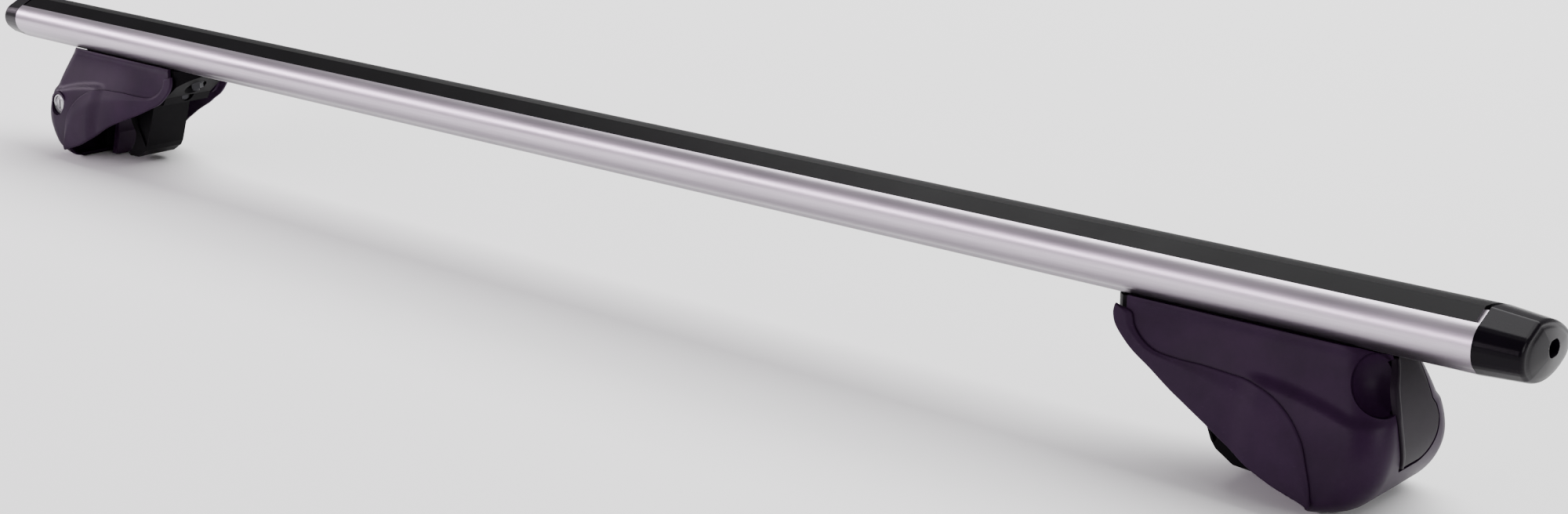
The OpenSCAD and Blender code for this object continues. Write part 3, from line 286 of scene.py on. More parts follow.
def shell_data(outer, inner, wrap=False):
    """Vertices and faces of the closed shell between two grids."""
    n, m = outer.shape[:2]
    verts = np.concatenate([outer.reshape(-1, 3), inner.reshape(-1, 3)])
    count = n * m
    faces = []
    for i in range(n - 1 + int(wrap)):
        j = (i + 1) % n
        for k in range(m - 1):
            a, b, c, d = i * m + k, j * m + k, j * m + k + 1, i * m + k + 1
            faces.append((a, b, c, d))
            faces.append((a + count, d + count, c + count, b + count))
        a, b = i * m, j * m
        faces.append((a, a + count, b + count, b))
        a, b = i * m + m - 1, j * m + m - 1
        faces.append((a, b, b + count, a + count))
    if not wrap:
        for k in range(m - 1):
            a = k
            faces.append((a, a + 1, a + 1 + count, a + count))
            a = (n - 1) * m + k
            faces.append((a, a + count, a + 1 + count, a + 1))
    return verts, faces


def mesh_points(mesh):
    """A mesh's vertices as an array."""
    points = np.empty(len(mesh.vertices) * 3)
    mesh.vertices.foreach_get("co", points)
    return points.reshape(-1, 3)


def turned(verts, faces):
    """Faces with their order turned where the closed mesh would be inside out."""
    volume = 0.0
    for f in faces:
        a = verts[f[0]]
        for i in range(1, len(f) - 1):
            volume += float(np.dot(a, np.cross(verts[f[i]], verts[f[i + 1]])))
    return faces if volume > 0 else [tuple(reversed(f)) for f in faces]


def new_object(name, verts, faces):
    """An object in the scene from vertices and faces."""
    mesh = bpy.data.meshes.new(name)
    mesh.from_pydata([tuple(map(float, v)) for v in verts], [], turned(verts, faces))
    mesh.validate()
    obj = bpy.data.objects.new(name, mesh)
    bpy.context.scene.collection.objects.link(obj)
    return obj


def prism(name, points, axis, low, high):
    """A straight prism. The outline's two values go on the two other axes, in X, Y, Z order."""
    order = {"X": (1, 2, 0), "Y": (0, 2, 1), "Z": (0, 1, 2)}[axis]
    count = len(points)
    verts = np.zeros((2 * count, 3))
    for k, level in enumerate((low, high)):
        part = verts[k * count : (k + 1) * count]
        part[:, order[0]] = [p[0] for p in points]
        part[:, order[1]] = [p[1] for p in points]
        part[:, order[2]] = level
    faces = [tuple(range(count)), tuple(range(2 * count - 1, count - 1, -1))]
    faces += [(i, i + count, (i + 1) % count + count, (i + 1) % count) for i in range(count)]
    return new_object(name, verts, faces)


def round_bar(name, radius, axis, centre, low, high, sides=96):
    """A round bar along one axis, through a centre on the two other axes."""
    angles = np.arange(sides) * 2 * np.pi / sides
    circle = [(centre[0] + radius * math.cos(t), centre[1] + radius * math.sin(t)) for t in angles]
    return prism(name, circle, axis, low, high)


def ball(name, radius, centre, rings=48, sides=96):
    """A sphere."""
    verts, faces = [(0, 0, radius)], []
    for i in range(1, rings):
        t = math.pi * i / rings
        for j in range(sides):
            u = 2 * math.pi * j / sides
            ring = radius * math.sin(t)
            verts.append((ring * math.cos(u), ring * math.sin(u), radius * math.cos(t)))
    verts.append((0, 0, -radius))
    for j in range(sides):
        k = (j + 1) % sides
        faces.append((0, 1 + j, 1 + k))
        for i in range(rings - 2):
            a = 1 + i * sides
            faces.append((a + j, a + sides + j, a + sides + k, a + k))
        a = 1 + (rings - 2) * sides
        faces.append((a + j, len(verts) - 1, a + k))
    return new_object(name, np.array(verts) + np.array(centre), faces)


def combine(obj, cutter, operation="DIFFERENCE", solver="EXACT"):
    """Applies a boolean with another object, and removes that object."""
    modifier = obj.modifiers.new("combine", "BOOLEAN")
    modifier.object = cutter
    modifier.operation = operation
    modifier.solver = solver
    settle(obj)
    drop(cutter)


def settle(obj):
    """Applies an object's modifiers to its mesh."""
    graph = bpy.context.evaluated_depsgraph_get()
    mesh = bpy.data.meshes.new_from_object(obj.evaluated_get(graph))
    obj.modifiers.clear()
    old = obj.data
    obj.data = mesh
    bpy.data.meshes.remove(old)


def drop(obj):
    """Removes an object and its mesh."""
    mesh = obj.data
    bpy.data.objects.remove(obj)
    bpy.data.meshes.remove(mesh)


def round_edges(obj, width, segments=2, angle=40.0):
    """Rounds the sharp edges of an object."""
    modifier = obj.modifiers.new("edges", "BEVEL")
    modifier.width = width
    modifier.segments = segments
    modifier.limit_method = "ANGLE"
    modifier.angle_limit = math.radians(angle)
    modifier.harden_normals = False
    modifier.use_clamp_overlap = True


def finish_mesh(obj, angle=35.0):
    """Smooth shading with sharp edges kept."""
    mesh = obj.data
    mesh.polygons.foreach_set("use_smooth", [True] * len(mesh.polygons))
    mesh.set_sharp_from_angle(angle=math.radians(angle))
    mesh.update()


def to_row(verts, sizes, side):
    """Points of a foot's frame in the row frame, in metres."""
    offset = sizes.right_offset if side > 0 else sizes.left_offset
    out = np.empty_like(verts)
    out[:, 0] = side * (offset + verts[:, 0])
    out[:, 1] = side * verts[:, 1]
    out[:, 2] = sizes.foot_drop + verts[:, 2]
    return out * MM


def place_on_feet(obj, sizes, sides, piece, body, slot):
    """Copies a piece drawn in a foot's frame to each foot, and removes the drawing."""
    mesh = obj.data
    verts = mesh_points(mesh)
    for word, side in sides:
        copy = mesh.copy()
        copy.vertices.foreach_set("co", to_row(verts, sizes, side).ravel())
        copy.name = f"{word}_{piece}_surface"
        copy.materials.clear()
        copy.materials.append(material_named(slot))
        made = bpy.data.objects.new(f"{word}_{piece}_surface", copy)
        bpy.context.scene.collection.objects.link(made)
        finish_mesh(made)
        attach(made, f"{word}_{body}")
        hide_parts(f"{word}_{piece}")
    drop(obj)


def skirt_lap_points(sizes, steps=80):
    """The skirt's upper edge moved under the skirt by the lap."""
    v = np.linspace(0, 1, steps + 1)
    along = unit(spline(SKIRT_LINE, np.minimum(v + 0.01, 1)) - spline(SKIRT_LINE, np.maximum(v - 0.01, 0)))
    return spline(SKIRT_LINE, v) + sizes.skirt_lap * np.stack([-along[:, 1], along[:, 0]], -1)


def inner_body(foot, inside):
    """Closed body inside the housing's outer face, drawn in all round."""
    points = drawn_in(foot.wall((40, 16, 12), 40), inside)
    n, m = points.shape[:2]
    faces = [(i * m + k, (i + 1) * m + k, (i + 1) * m + k + 1, i * m + k + 1)
             for i in range(n - 1) for k in range(m - 1)]
    for i in range(n // 2):
        a, b, c, d = i * m, (i + 1) * m, (n - 2 - i) * m, (n - 1 - i) * m
        if b == c:
            faces += [(a, d, b), (a + m - 1, b + m - 1, d + m - 1)]
        elif b < c:
            faces += [(a, d, c, b), (a + m - 1, b + m - 1, c + m - 1, d + m - 1)]
    faces += [(k, k + 1, (n - 1) * m + k + 1, (n - 1) * m + k) for k in range(m - 1)]
    return new_object("inner_body", points.reshape(-1, 3), faces)


def lid_outline(foot, side_gap, low_gap, rise):
    """Outline of the lid or of its opening, seen from the foot's end."""
    s = foot.s
    sharp, wide = LID_SHARP, LID_WIDE
    low = -s.lid_bottom - low_gap
    start = at(foot.lid_from, s.lid_bottom) - side_gap
    stop = at(foot.lid_to, s.lid_bottom - wide) + side_gap
    points = []
    for t in np.linspace(np.pi * 1.5, np.pi, 9):
        points.append((start + sharp + sharp * math.cos(t), low + sharp + sharp * math.sin(t)))
    d = np.linspace(s.lid_bottom - sharp - 0.5, s.lid_top, 30)
    points += list(zip(foot.lid_from(d) - side_gap, -d))
    points.append((at(foot.lid_from, s.lid_top) - side_gap, rise - s.lid_top))
    points.append((at(foot.lid_to, s.lid_top) + side_gap, rise - s.lid_top))
    d = np.linspace(s.lid_top, s.lid_bottom - wide, 24)
    points += list(zip(foot.lid_to(d) + side_gap, -d))
    for t in np.linspace(0, -np.pi / 2, 24)[1:]:
        points.append((stop - wide + wide * math.cos(t), low + wide + wide * math.sin(t)))
    return points


def lid_cutter(foot):
    """Prism that cuts the lid's opening out of the nose."""
    s = foot.s
    start = at(foot.corner_x, s.lid_top) + 4
    return prism("lid_opening", lid_outline(foot, s.lid_gap, s.lid_sill, OPENING_RISE), "X", start, FAR)


def bar_room(gap):
    """Round bar that keeps the housing clear of the profile's underside."""
    radius = (BELLY_HALF * BELLY_HALF + BELLY_DEPTH * BELLY_DEPTH) / (2 * BELLY_DEPTH)
    return round_bar("bar_room", radius + gap, "X", (0, radius - BELLY_DEPTH), -FAR, FAR, 360)


def cut_below_skirts(obj, sizes):
    """Cuts the housing away below the line where the skirts take over."""
    lap = skirt_lap_points(sizes)
    low = -sizes.foot_drop - 5
    end = -sizes.inboard_end - 20
    points = [(end, low), (end, -lap[0][1])] + [(p[0], -p[1]) for p in lap] + [(lap[-1][0], low)]
    combine(obj, prism("below_lap", points, "Y", -FAR / 2, FAR / 2), solver="FAST")


def pocket_bowl(foot, centre):
    """The finger pocket's bowl, which ends at the housing's skin and clear behind the lid."""
    s = foot.s
    bowl = ball("bowl", s.scoop_radius + BOWL_WALL, centre)
    combine(bowl, ball("hollow", s.scoop_radius, centre))
    behind = inner_body(foot, s.lid_thickness + 1.6)
    skin = inner_body(foot, 1.0)
    combine(skin, lid_cutter(foot))
    combine(skin, behind, "UNION")
    combine(bowl, skin, "INTERSECT")
    return bowl


def draw_housing(sizes):
    """The housing: wall, pocket, floor and lock sleeve."""
    foot = Foot(sizes)
    outer = foot.wall((84, 24, 24), 72)
    obj = new_object("housing", *shell_data(outer, drawn_in(outer, sizes.wall)))
    cut_below_skirts(obj, sizes)
    combine(obj, lid_cutter(foot))
    centre = (sizes.scoop_x, sizes.scoop_y, -sizes.scoop_depth)
    combine(obj, ball("scoop", sizes.scoop_radius, centre))
    bowl = pocket_bowl(foot, centre)
    face_y = at(foot.side_y, sizes.lock_x, sizes.lock_depth)
    axis = (sizes.lock_x, -sizes.lock_depth)
    sleeve = round_bar("sleeve", sizes.lock_radius + 1.8, "Y", axis, face_y - 16, face_y - 1.0)
    for piece in (obj, sleeve):
        combine(piece, round_bar("bore", sizes.lock_radius + 0.06, "Y", axis, 0, FAR))
    for piece in (obj, bowl):
        combine(piece, bar_room(sizes.top_gap))
    return join([obj, bowl, sleeve, floor_plate(foot), guide_shelf(foot), lid_stop(foot)])


def guide_place(foot):
    """Depth of the lid's guide pins and the front of the shelf that guides them."""
    depth = foot.s.lid_bottom - foot.s.guide_rise
    return depth, at(foot.nose_x, depth) - foot.s.shelf_inset


def block(name, low, high):
    """A box between two corners."""
    outline = [(low[0], low[1]), (high[0], low[1]), (high[0], high[1]), (low[0], high[1])]
    return prism(name, outline, "Z", low[2], high[2])


def guide_shelf(foot):
    """Shelf inside the nose, bored for the lid's guide pins."""
    s = foot.s
    depth, front = guide_place(foot)
    corner = at(foot.corner_x, depth)
    c = s.corner_radius
    turn = c * (1 - math.sqrt(1 - ((front - corner) / c) ** 2))
    half = at(foot.side_y, corner, depth) - 0.6 - turn
    shelf = block("shelf", (front - 6, -half, -depth - s.pin_boss + 0.4), (front, half, -depth + s.pin_boss))
    for y in GUIDES:
        combine(shelf, round_bar("bore", s.pin_radius + 0.3, "X", (y, -depth), front - 8, front + 2, 48))
    return shelf


def floor_plate(foot):
    """Floor of the housing's outboard end."""
    s = foot.s
    edge = 43.0
    half = at(foot.side_y, edge, s.foot_drop) - 0.1
    reach = at(foot.nose_x, s.foot_drop) - 0.1
    r = s.corner_radius / 2
    points = [(edge, -half), (reach - r, -half)]
    for t in np.linspace(0, np.pi / 2, 12)[1:]:
        points.append((reach - r + r * math.sin(t), -half + r - r * math.cos(t)))
    points += [(x, -y) for x, y in reversed(points)]
    return prism("floor", points, "Z", -s.foot_drop + 0.1, -s.foot_drop + s.wall)


def lid_stop(foot):
    """Curved strip behind the lid's lower edge, which closes the gap under it."""
    s = foot.s
    d = np.linspace(s.lid_bottom - 2.5, s.lid_bottom + 3, 12)[None, :]
    start = at(foot.lid_from, s.lid_bottom) - 1.5
    stop = at(foot.lid_to, s.lid_bottom - LID_WIDE) - 3
    y = np.linspace(start, stop, 40)[:, None] + 0 * d
    face = foot.nose_face(y, d + 0 * y) - s.lid_thickness - 0.4
    outer = np.stack([face, y, -d + 0 * y], -1)
    inner = np.stack([face - 1.2, y, -d + 0 * y], -1)
    return new_object("lid_stop", *shell_data(outer, inner))


def join(objects):
    """One object from several."""
    verts, faces, start = [], [], 0
    for obj in objects:
        mesh = obj.data
        verts.append(mesh_points(mesh))
        faces += [tuple(start + i for i in p.vertices) for p in mesh.polygons]
        start += len(mesh.vertices)
    for obj in objects:
        drop(obj)
    mesh = bpy.data.meshes.new("joined")
    mesh.from_pydata([tuple(v) for v in np.concatenate(verts)], [], faces)
    obj = bpy.data.objects.new("joined", mesh)
    bpy.context.scene.collection.objects.link(obj)
    return obj


def edge_round(v, reach):
    """Rounding that falls from 1 to 0 at a distance v from an edge."""
    t = np.clip(v / reach, 0, 1)
    return 1 - np.sqrt(1 - (1 - t) ** 2)


def draw_skirt(sizes, side):
    """A soft skirt, on the front side for -1 and on the rear side for 1."""
    foot = Foot(sizes)
    places = np.linspace(0, 1, 150)
    v = eased(34)
    a, b = spline(SKIRT_LINE, places), spline(HEM_LINE, places)
    p = a[:, None, :] + (b - a)[:, None, :] * v[None, :, None]
    x, d = p[..., 0], p[..., 1]
    base = foot.side_y(x, np.minimum(d, sizes.foot_drop - sizes.lower_round), rounded=False)
    width = np.linalg.norm(b - a, axis=-1)[:, None]
    lift = mix(sizes.skirt_edge, sizes.skirt_thickness, smooth(3 * v))[None, :] + 0 * x
    from_top = v[None, :] * width
    from_hem = (1 - v)[None, :] * width
    along = np.concatenate([[0], np.cumsum(np.linalg.norm(np.diff(b, axis=0), axis=-1))])[:, None]
    from_ends = np.minimum(along, along[-1] - along)
    lift = lift - 0.5 * edge_round(from_top, 0.9) - 0.9 * edge_round(from_hem, 1.6)
    lift = lift - 0.7 * edge_round(from_ends, 1.4)
    outer = np.stack([x, -(base + sizes.skirt_gap + lift), -d], -1)
    inner = np.stack([x, -(base + sizes.skirt_gap), -d], -1)
    if side > 0:
        outer[..., 1] *= -1
        inner[..., 1] *= -1
    return new_object("skirt", *shell_data(outer, inner))


def draw_lid(sizes):
    """The access lid with the raised rib along its front edge."""
    foot = Foot(sizes)
    sharp, wide = LID_SHARP, LID_WIDE
    d = (sizes.lid_top + (sizes.lid_bottom - sizes.lid_top) * eased(70))[None, :]
    below = np.clip(d - (sizes.lid_bottom - sharp), 0, sharp)
    start = foot.lid_from(d) + sharp - np.sqrt(np.clip(sharp**2 - below**2, 0, None))
    below = np.clip(d - (sizes.lid_bottom - wide), 0, wide)
    hold = foot.lid_to(np.minimum(d, sizes.lid_bottom - wide))
    stop = hold - wide + np.sqrt(np.clip(wide**2 - below**2, 0, None))
    y = start + (stop - start) * eased(60)[:, None]
    dd = d + 0 * y
    from_start, from_stop = y - start, stop - y
    from_low, from_top = sizes.lid_bottom - dd, dd - sizes.lid_top
    rib = 1.1 * (1 - smooth((y - foot.lid_from(dd) - 2.2) / 2.4))
    fall = 0.9 * edge_round(from_start, 0.9) + 0.5 * edge_round(from_stop, 0.7)
    fall = fall + 0.5 * edge_round(from_low, 0.7) + 0.5 * edge_round(from_top, 0.7)
    outer = np.stack([foot.nose_face(y, dd) + rib - fall, y, -dd], -1)
    inner = np.stack([foot.nose_face(y, dd) - sizes.lid_thickness, y, -dd], -1)
    pieces = [new_object("lid", *shell_data(outer, inner))]
    depth, front = guide_place(foot)
    for place in GUIDES:
        face = at(foot.nose_face, place, depth)
        pieces.append(round_bar("boss", sizes.pin_boss, "X", (place, -depth), front + 0.5, face - 1, 48))
        combine(pieces[-1], round_bar("bore", sizes.pin_radius + 0.02, "X", (place, -depth), 0, face - 2.2, 48))
    hook_x, hook_z = sizes.lock_x + 4, -sizes.lock_depth
    back = at(foot.nose_face, 10, sizes.lock_depth) - 1
    pieces.append(block("strap", (hook_x + 1.9, 8.72, hook_z - 1.48), (back, 11.68, hook_z + 1.48)))
    pieces.append(block("hook", (hook_x, 8.7, hook_z - 1.5), (hook_x + 2, 17, hook_z + 1.5)))
    return join(pieces)


def revolve(name, profile, centre, axis_y, sides=96):
    """A turned piece along Y: profile gives radius and place along Y."""
    count = len(profile)
    verts, faces = [], []
    for j in range(sides):
        t = 2 * math.pi * j / sides
        verts += [(centre[0] + r * math.cos(t), axis_y + y, centre[1] + r * math.sin(t)) for r, y in profile]
    for j in range(sides):
        k = (j + 1) % sides
        a, b = j * count, k * count
        faces += [(a + i, a + i + 1, b + i + 1, b + i) for i in range(count - 1)]
    faces.append(tuple(j * count for j in range(sides)))
    faces.append(tuple(j * count + count - 1 for j in reversed(range(sides))))
    return new_object(name, np.array(verts), faces)


def draw_lock(sizes):
    """The lock's barrel: bevelled ring, dished face and key slot."""
    x, z = sizes.lock_x, -sizes.lock_depth
    face = at(Foot(sizes).side_y, x, sizes.lock_depth) - sizes.lock_recess
    r = sizes.lock_radius
    spindle = [(3.0, -17.4), (3.0, -15.0)]
    ring = [(r, -15.0), (r, -0.8), (r - 0.25, -0.25), (r - 0.9, 0.0), (r - 1.7, -0.05)]
    groove = [(r - 2.1, -0.5), (r - 2.3, -1.1), (r - 2.9, -1.25), (r - 3.3, -0.95)]
    dish = [(r - 4.2, -0.75), (1.0, -0.7), (0.4, -0.7)]
    obj = revolve("lock", spindle + ring + groove + dish, (x, z), face)
    half, reach = 0.75, 3.6
    slot = [(x - half, z - reach), (x + half, z - reach), (x + half, z + reach), (x - half, z + reach)]
    combine(obj, prism("key_slot", slot, "Y", face - 7, face + 5))
    return obj


def convex_outline(points):
    """Outline of the smallest convex shape round a set of points, counter-clockwise."""
    points = sorted(set(map(tuple, np.round(points, 5).tolist())))

    def left_turn(a, b, c):
        return (b[0] - a[0]) * (c[1] - a[1]) > (b[1] - a[1]) * (c[0] - a[0])

    def half(run):
        out = []
        for p in run:
            while len(out) > 1 and not left_turn(out[-2], out[-1], p):
                out.pop()
            out.append(p)
        return out

    lower, upper = half(points), half(points[::-1])
    return np.array(lower[:-1] + upper[:-1])


def even_outline(outline, count):
    """The same closed outline with evenly spaced points."""
    closed = np.vstack([outline, outline[:1]])
    length = np.concatenate([[0], np.cumsum(np.linalg.norm(np.diff(closed, axis=0), axis=1))])
    places = np.linspace(0, length[-1], count, endpoint=False)
    return np.stack([np.interp(places, length, closed[:, i]) for i in (0, 1)], -1)


def node_points(node):
    """A CAD node's vertices in millimetres."""
    return mesh_points(frame["nodes"][node].data) * 1000


def draw_cap(sizes, word, side):
    """An end cap: lofted from the profile's outline to a domed face, with a deep oval recess."""
    points = node_points(f"{word}_end_cap")
    base = points[np.abs(np.abs(points[:, 0]) - BAR_HALF) < 0.2][:, 1:]
    outline = even_outline(convex_outline(base), 260)
    middle = np.array([0.0, (outline[:, 1].max() + outline[:, 1].min()) / 2])
    taper, face = 0.9, 0.78
    dome, rounding = 2.9, 2.4
    edge = sizes.cap_length - 3.0
    shares, places = [1.0], [0.05]
    for v in np.linspace(0.04, 1, 18):
        shares.append(mix(1.0, taper, v))
        places.append((edge - rounding) * v)
    for t in np.linspace(0, np.pi / 2, 10)[1:]:
        shares.append(mix(taper, face, 1 - math.cos(t)))
        places.append(edge - rounding + rounding * math.sin(t))
    for v in np.linspace(0, 1, 14)[1:]:
        shares.append(face * (1 - v) + 0.02 * v)
        places.append(edge + dome * math.sqrt(1 - (1 - v) ** 2) * 0.35 + dome * v * 0.65)
    rows = []
    for share, place in zip(shares, places):
        drop_by = sizes.cap_drop * (1 - share) / (1 - face) if share > face else sizes.cap_drop
        ring = (outline - middle) * share + middle - np.array([0, drop_by])
        rows.append(np.column_stack([np.full(len(ring), place), ring]))
    grid = np.stack(rows, 1)
    n, m = grid.shape[:2]
    faces = [(i * m + k, ((i + 1) % n) * m + k, ((i + 1) % n) * m + k + 1, i * m + k + 1)
             for i in range(n) for k in range(m - 1)]
    faces.append(tuple(i * m for i in range(n)))
    faces.append(tuple(i * m + m - 1 for i in reversed(range(n))))
    obj = new_object("cap", grid.reshape(-1, 3), faces)
    centre = (sizes.screw_across, sizes.screw_height + sizes.foot_drop)
    radius, shift = 4, 1.8
    oval = []
    for move, first in ((shift, -np.pi / 2), (-shift, np.pi / 2)):
        for t in np.linspace(first, first + np.pi, 24):
            oval.append((centre[0] + move + radius * math.cos(t), centre[1] + radius * math.sin(t)))
    combine(obj, prism("recess", oval, "X", 4.0, FAR))
    round_edges(obj, 0.45, 3, 50)
    settle(obj)
    mesh = obj.data
    verts = mesh_points(mesh)
    verts[:, 0] = side * (BAR_HALF + verts[:, 0])
    mesh.vertices.foreach_set("co", (verts * MM).ravel())
    if side < 0:
        mesh.flip_normals()
    return obj


def node_graph(name):
    """A new material with its shader, coordinates and a place to add nodes."""
    material = bpy.data.materials.new(name)
    material.use_nodes = True
    tree = material.node_tree
    shader = tree.nodes["Principled BSDF"]
    coords = tree.nodes.new("ShaderNodeTexCoord")
    return material, tree, shader, coords


def noise(tree, coords, scale, detail, stretch=(1, 1, 1), roughness=0.55):
    """Noise in the row frame; stretch scales it along each axis."""
    mapping = tree.nodes.new("ShaderNodeMapping")
    mapping.inputs["Scale"].default_value = stretch
    tree.links.new(coords.outputs["Object"], mapping.inputs["Vector"])
    node = tree.nodes.new("ShaderNodeTexNoise")
    node.inputs["Scale"].default_value = scale
    node.inputs["Detail"].default_value = detail
    node.inputs["Roughness"].default_value = roughness
    tree.links.new(mapping.outputs["Vector"], node.inputs["Vector"])
    return node.outputs["Fac"]


def spread(tree, value, low, high, start, stop):
    """Maps a value from low..high to start..stop."""
    node = tree.nodes.new("ShaderNodeMapRange")
    node.inputs["From Min"].default_value = low
    node.inputs["From Max"].default_value = high
    node.inputs["To Min"].default_value = start
    node.inputs["To Max"].default_value = stop
    tree.links.new(value, node.inputs["Value"])
    return node.outputs["Result"]


def blend_colour(tree, factor, first, second):
    """Mixes two colours by a factor."""
    node = tree.nodes.new("ShaderNodeMix")
    node.data_type = "RGBA"
    if isinstance(first, bpy.types.NodeSocket):
        tree.links.new(first, node.inputs["A"])
    else:
        node.inputs["A"].default_value = (*first, 1)
    if isinstance(second, bpy.types.NodeSocket):
        tree.links.new(second, node.inputs["B"])
    else:
        node.inputs["B"].default_value = (*second, 1)
    tree.links.new(factor, node.inputs["Factor"])
    return node.outputs["Result"]


def bump(tree, shader, heights):
    """Chains bumps: each is (height, strength, distance in metres)."""
    normal = None
    for height, strength, distance in heights:
        node = tree.nodes.new("ShaderNodeBump")
        node.inputs["Strength"].default_value = strength
        node.inputs["Distance"].default_value = distance
        tree.links.new(height, node.inputs["Height"])
        if normal is not None:
            tree.links.new(normal, node.inputs["Normal"])
        normal = node.outputs["Normal"]
    tree.links.new(normal, shader.inputs["Normal"])


def moulded(name, colour, rough, grain=2600, relief=0.00004, strength=0.5, wear=0.0, specular=0.17,
            scratches=False):
    """Moulded plastic or rubber: fine grain, cloudy colour, uneven sheen, optional scuffs."""
    material, tree, shader, coords = node_graph(name)
    cloud = noise(tree, coords, 38, 4)
    grain_out = noise(tree, coords, grain, 3)
    patch = noise(tree, coords, 9, 5)
    dark = tuple(c * 0.84 for c in colour)
    light = tuple(min(c * 1.16, 1) for c in colour)
    result = blend_colour(tree, spread(tree, cloud, 0.35, 0.65, 0, 1), dark, light)
    dust = tuple(min(c * 1.6 + 0.006, 1) for c in colour)
    if wear > 0:
        speck = noise(tree, coords, 260, 6, roughness=0.7)
        result = blend_colour(tree, spread(tree, speck, 0.6, 0.76, 0, wear), result, dust)
    if scratches:
        line = noise(tree, coords, 420, 2, stretch=(0.35, 1, 2.4))
        fine = spread(tree, line, 0.7, 0.74, 0, 0.5)
        result = blend_colour(tree, fine, result, dust)
    tree.links.new(result, shader.inputs["Base Color"])
    tree.links.new(spread(tree, patch, 0.3, 0.7, rough - 0.05, rough + 0.06), shader.inputs["Roughness"])
    shader.inputs["Specular IOR Level"].default_value = specular
    bump(tree, shader, [(cloud, 0.12, 0.0004), (grain_out, strength, relief)])
    return material


def brushed(name, colour, rough, along=(0.02, 1, 1), scale=900, relief=0.00001, strength=0.25, painted_shade=None):
    """Metal with faint drawn lines, uneven sheen and, below a height, painted shade that darkens its colour."""
    material, tree, shader, coords = node_graph(name)
    lines = noise(tree, coords, scale, 3, stretch=along)
    haze = noise(tree, coords, 14, 4)
    dark = tuple(c * 0.94 for c in colour)
    light = tuple(min(c * 1.05, 1) for c in colour)
    result = blend_colour(tree, spread(tree, lines, 0.35, 0.65, 0, 1), dark, light)
    # Painted shade: below a height the colour blends to a darker copy, so the part's lower side looks darker
    if painted_shade:
        low, high, share = painted_shade
        split = tree.nodes.new("ShaderNodeSeparateXYZ")
        tree.links.new(coords.outputs["Object"], split.inputs[0])
        shaded_colour = tuple(c * share for c in colour)
        result = blend_colour(tree, spread(tree, split.outputs["Z"], low, high, 1, 0), result, shaded_colour)
    tree.links.new(result, shader.inputs["Base Color"])
    tree.links.new(spread(tree, haze, 0.3, 0.7, rough - 0.025, rough + 0.03), shader.inputs["Roughness"])
    shader.inputs["Metallic"].default_value = 1.0
    bump(tree, shader, [(lines, strength, relief)])
    return material


def painted(name, colour, rough):
    """Coated steel with a soft orange-peel and small chips."""
    material, tree, shader, coords = node_graph(name)
    peel = noise(tree, coords, 700, 2)
    chip = noise(tree, coords, 330, 6, roughness=0.75)
    bare = tuple(c * 2.2 + 0.05 for c in colour)
    result = blend_colour(tree, spread(tree, chip, 0.66, 0.72, 0, 0.6), colour, bare)
    tree.links.new(result, shader.inputs["Base Color"])
    tree.links.new(spread(tree, peel, 0.3, 0.7, rough - 0.04, rough + 0.05), shader.inputs["Roughness"])
    bump(tree, shader, [(peel, 0.25, 0.00006)])
    return material


# For each slot of the record: maker, colour or name of a colour setting, roughness and options
FINISHES = {
    # Painted shade on the bar: its colour falls to 0.3 below 81.5 mm and fades back in by 96.5 mm up
    "bar_aluminium": (brushed, "aluminium", 0.33, {"painted_shade": (0.0815, 0.0965, 0.3)}),
    "strip_rubber": (moulded, "strip", 0.42, {"grain": 1500, "relief": 0.00003, "specular": 0.05}),
    "cap_plastic": (moulded, "cap", 0.3, {"grain": 1700, "relief": 0.00003, "strength": 0.4, "specular": 0.09}),
    "housing_plastic": (moulded, "housing", 0.44, {"wear": 0.08, "specular": 0.1}),
    "skirt_rubber": (moulded, "skirt", 0.54, {"grain": 1900, "wear": 0.2, "specular": 0.1, "scratches": True}),
    "lid_plastic": (moulded, "lid", 0.5, {"grain": 2100, "specular": 0.1}),
    "carrier_plastic": (
        moulded, "carrier", 0.55, {"grain": 1600, "relief": 0.00006, "wear": 0.1, "specular": 0.06}
    ),
    "fin_rubber": (moulded, "fin", 0.5, {"grain": 1900}),
    "pad_rubber": (moulded, (0.01, 0.01, 0.011), 0.62, {"grain": 1300, "relief": 0.00006}),
    "hook_steel": (painted, (0.02, 0.02, 0.022), 0.4, {}),
    "zinc_steel": (brushed, (0.035, 0.035, 0.038), 0.38, {"along": (1, 1, 1), "scale": 500}),
    "lock_chrome": (brushed, (0.42, 0.41, 0.43), 0.3, {"along": (1, 0.1, 1), "scale": 700, "strength": 0.12}),
}


def material_named(key):
    """The finish for a slot of the record, made once."""
    name = f"finish_{key}"
    found = bpy.data.materials.get(name)
    if found:
        return found
    maker, colour, rough, options = FINISHES[key]
    if isinstance(colour, str):
        colour = tuple(getattr(bpy.context.scene.crossbar_colours, colour))
    return maker(name, colour, rough, **options)


def slot_of(node):
    """The record's material slot of a CAD node."""
    for part in frame["record"]["subparts"]:
        if part["node"] == node:
            return part["material_slot"]
    raise ValueError(f"the record has no node {node}")


# Width of the rounding on each kind of CAD node that shows, in metres
SOFTENED = {
    "carrier": 0.0009, "jaw_block": 0.0012, "outer_pad": 0.0006, "jaw_hook": 0.0004,
    "jaw_pad": 0.0004, "clamp_bolt": 0.0003, "top_strip": 0.00012,
}


class CROSSBAR_OT_frame_nodes(bpy.types.Operator):
    """Give every CAD node its finish and round the edges of the moulded ones"""

    bl_idname = "crossbar.frame_nodes"
    bl_label = "Finish CAD nodes"

    def execute(self, context):
        for node, obj in frame["nodes"].items():
            obj.data.materials.clear()
            obj.data.materials.append(material_named(slot_of(node)))
            piece = node.removeprefix("right_").removeprefix("left_")
            if piece in SOFTENED:
                round_edges(obj, SOFTENED[piece], 2, 30)
        return {"FINISHED"}


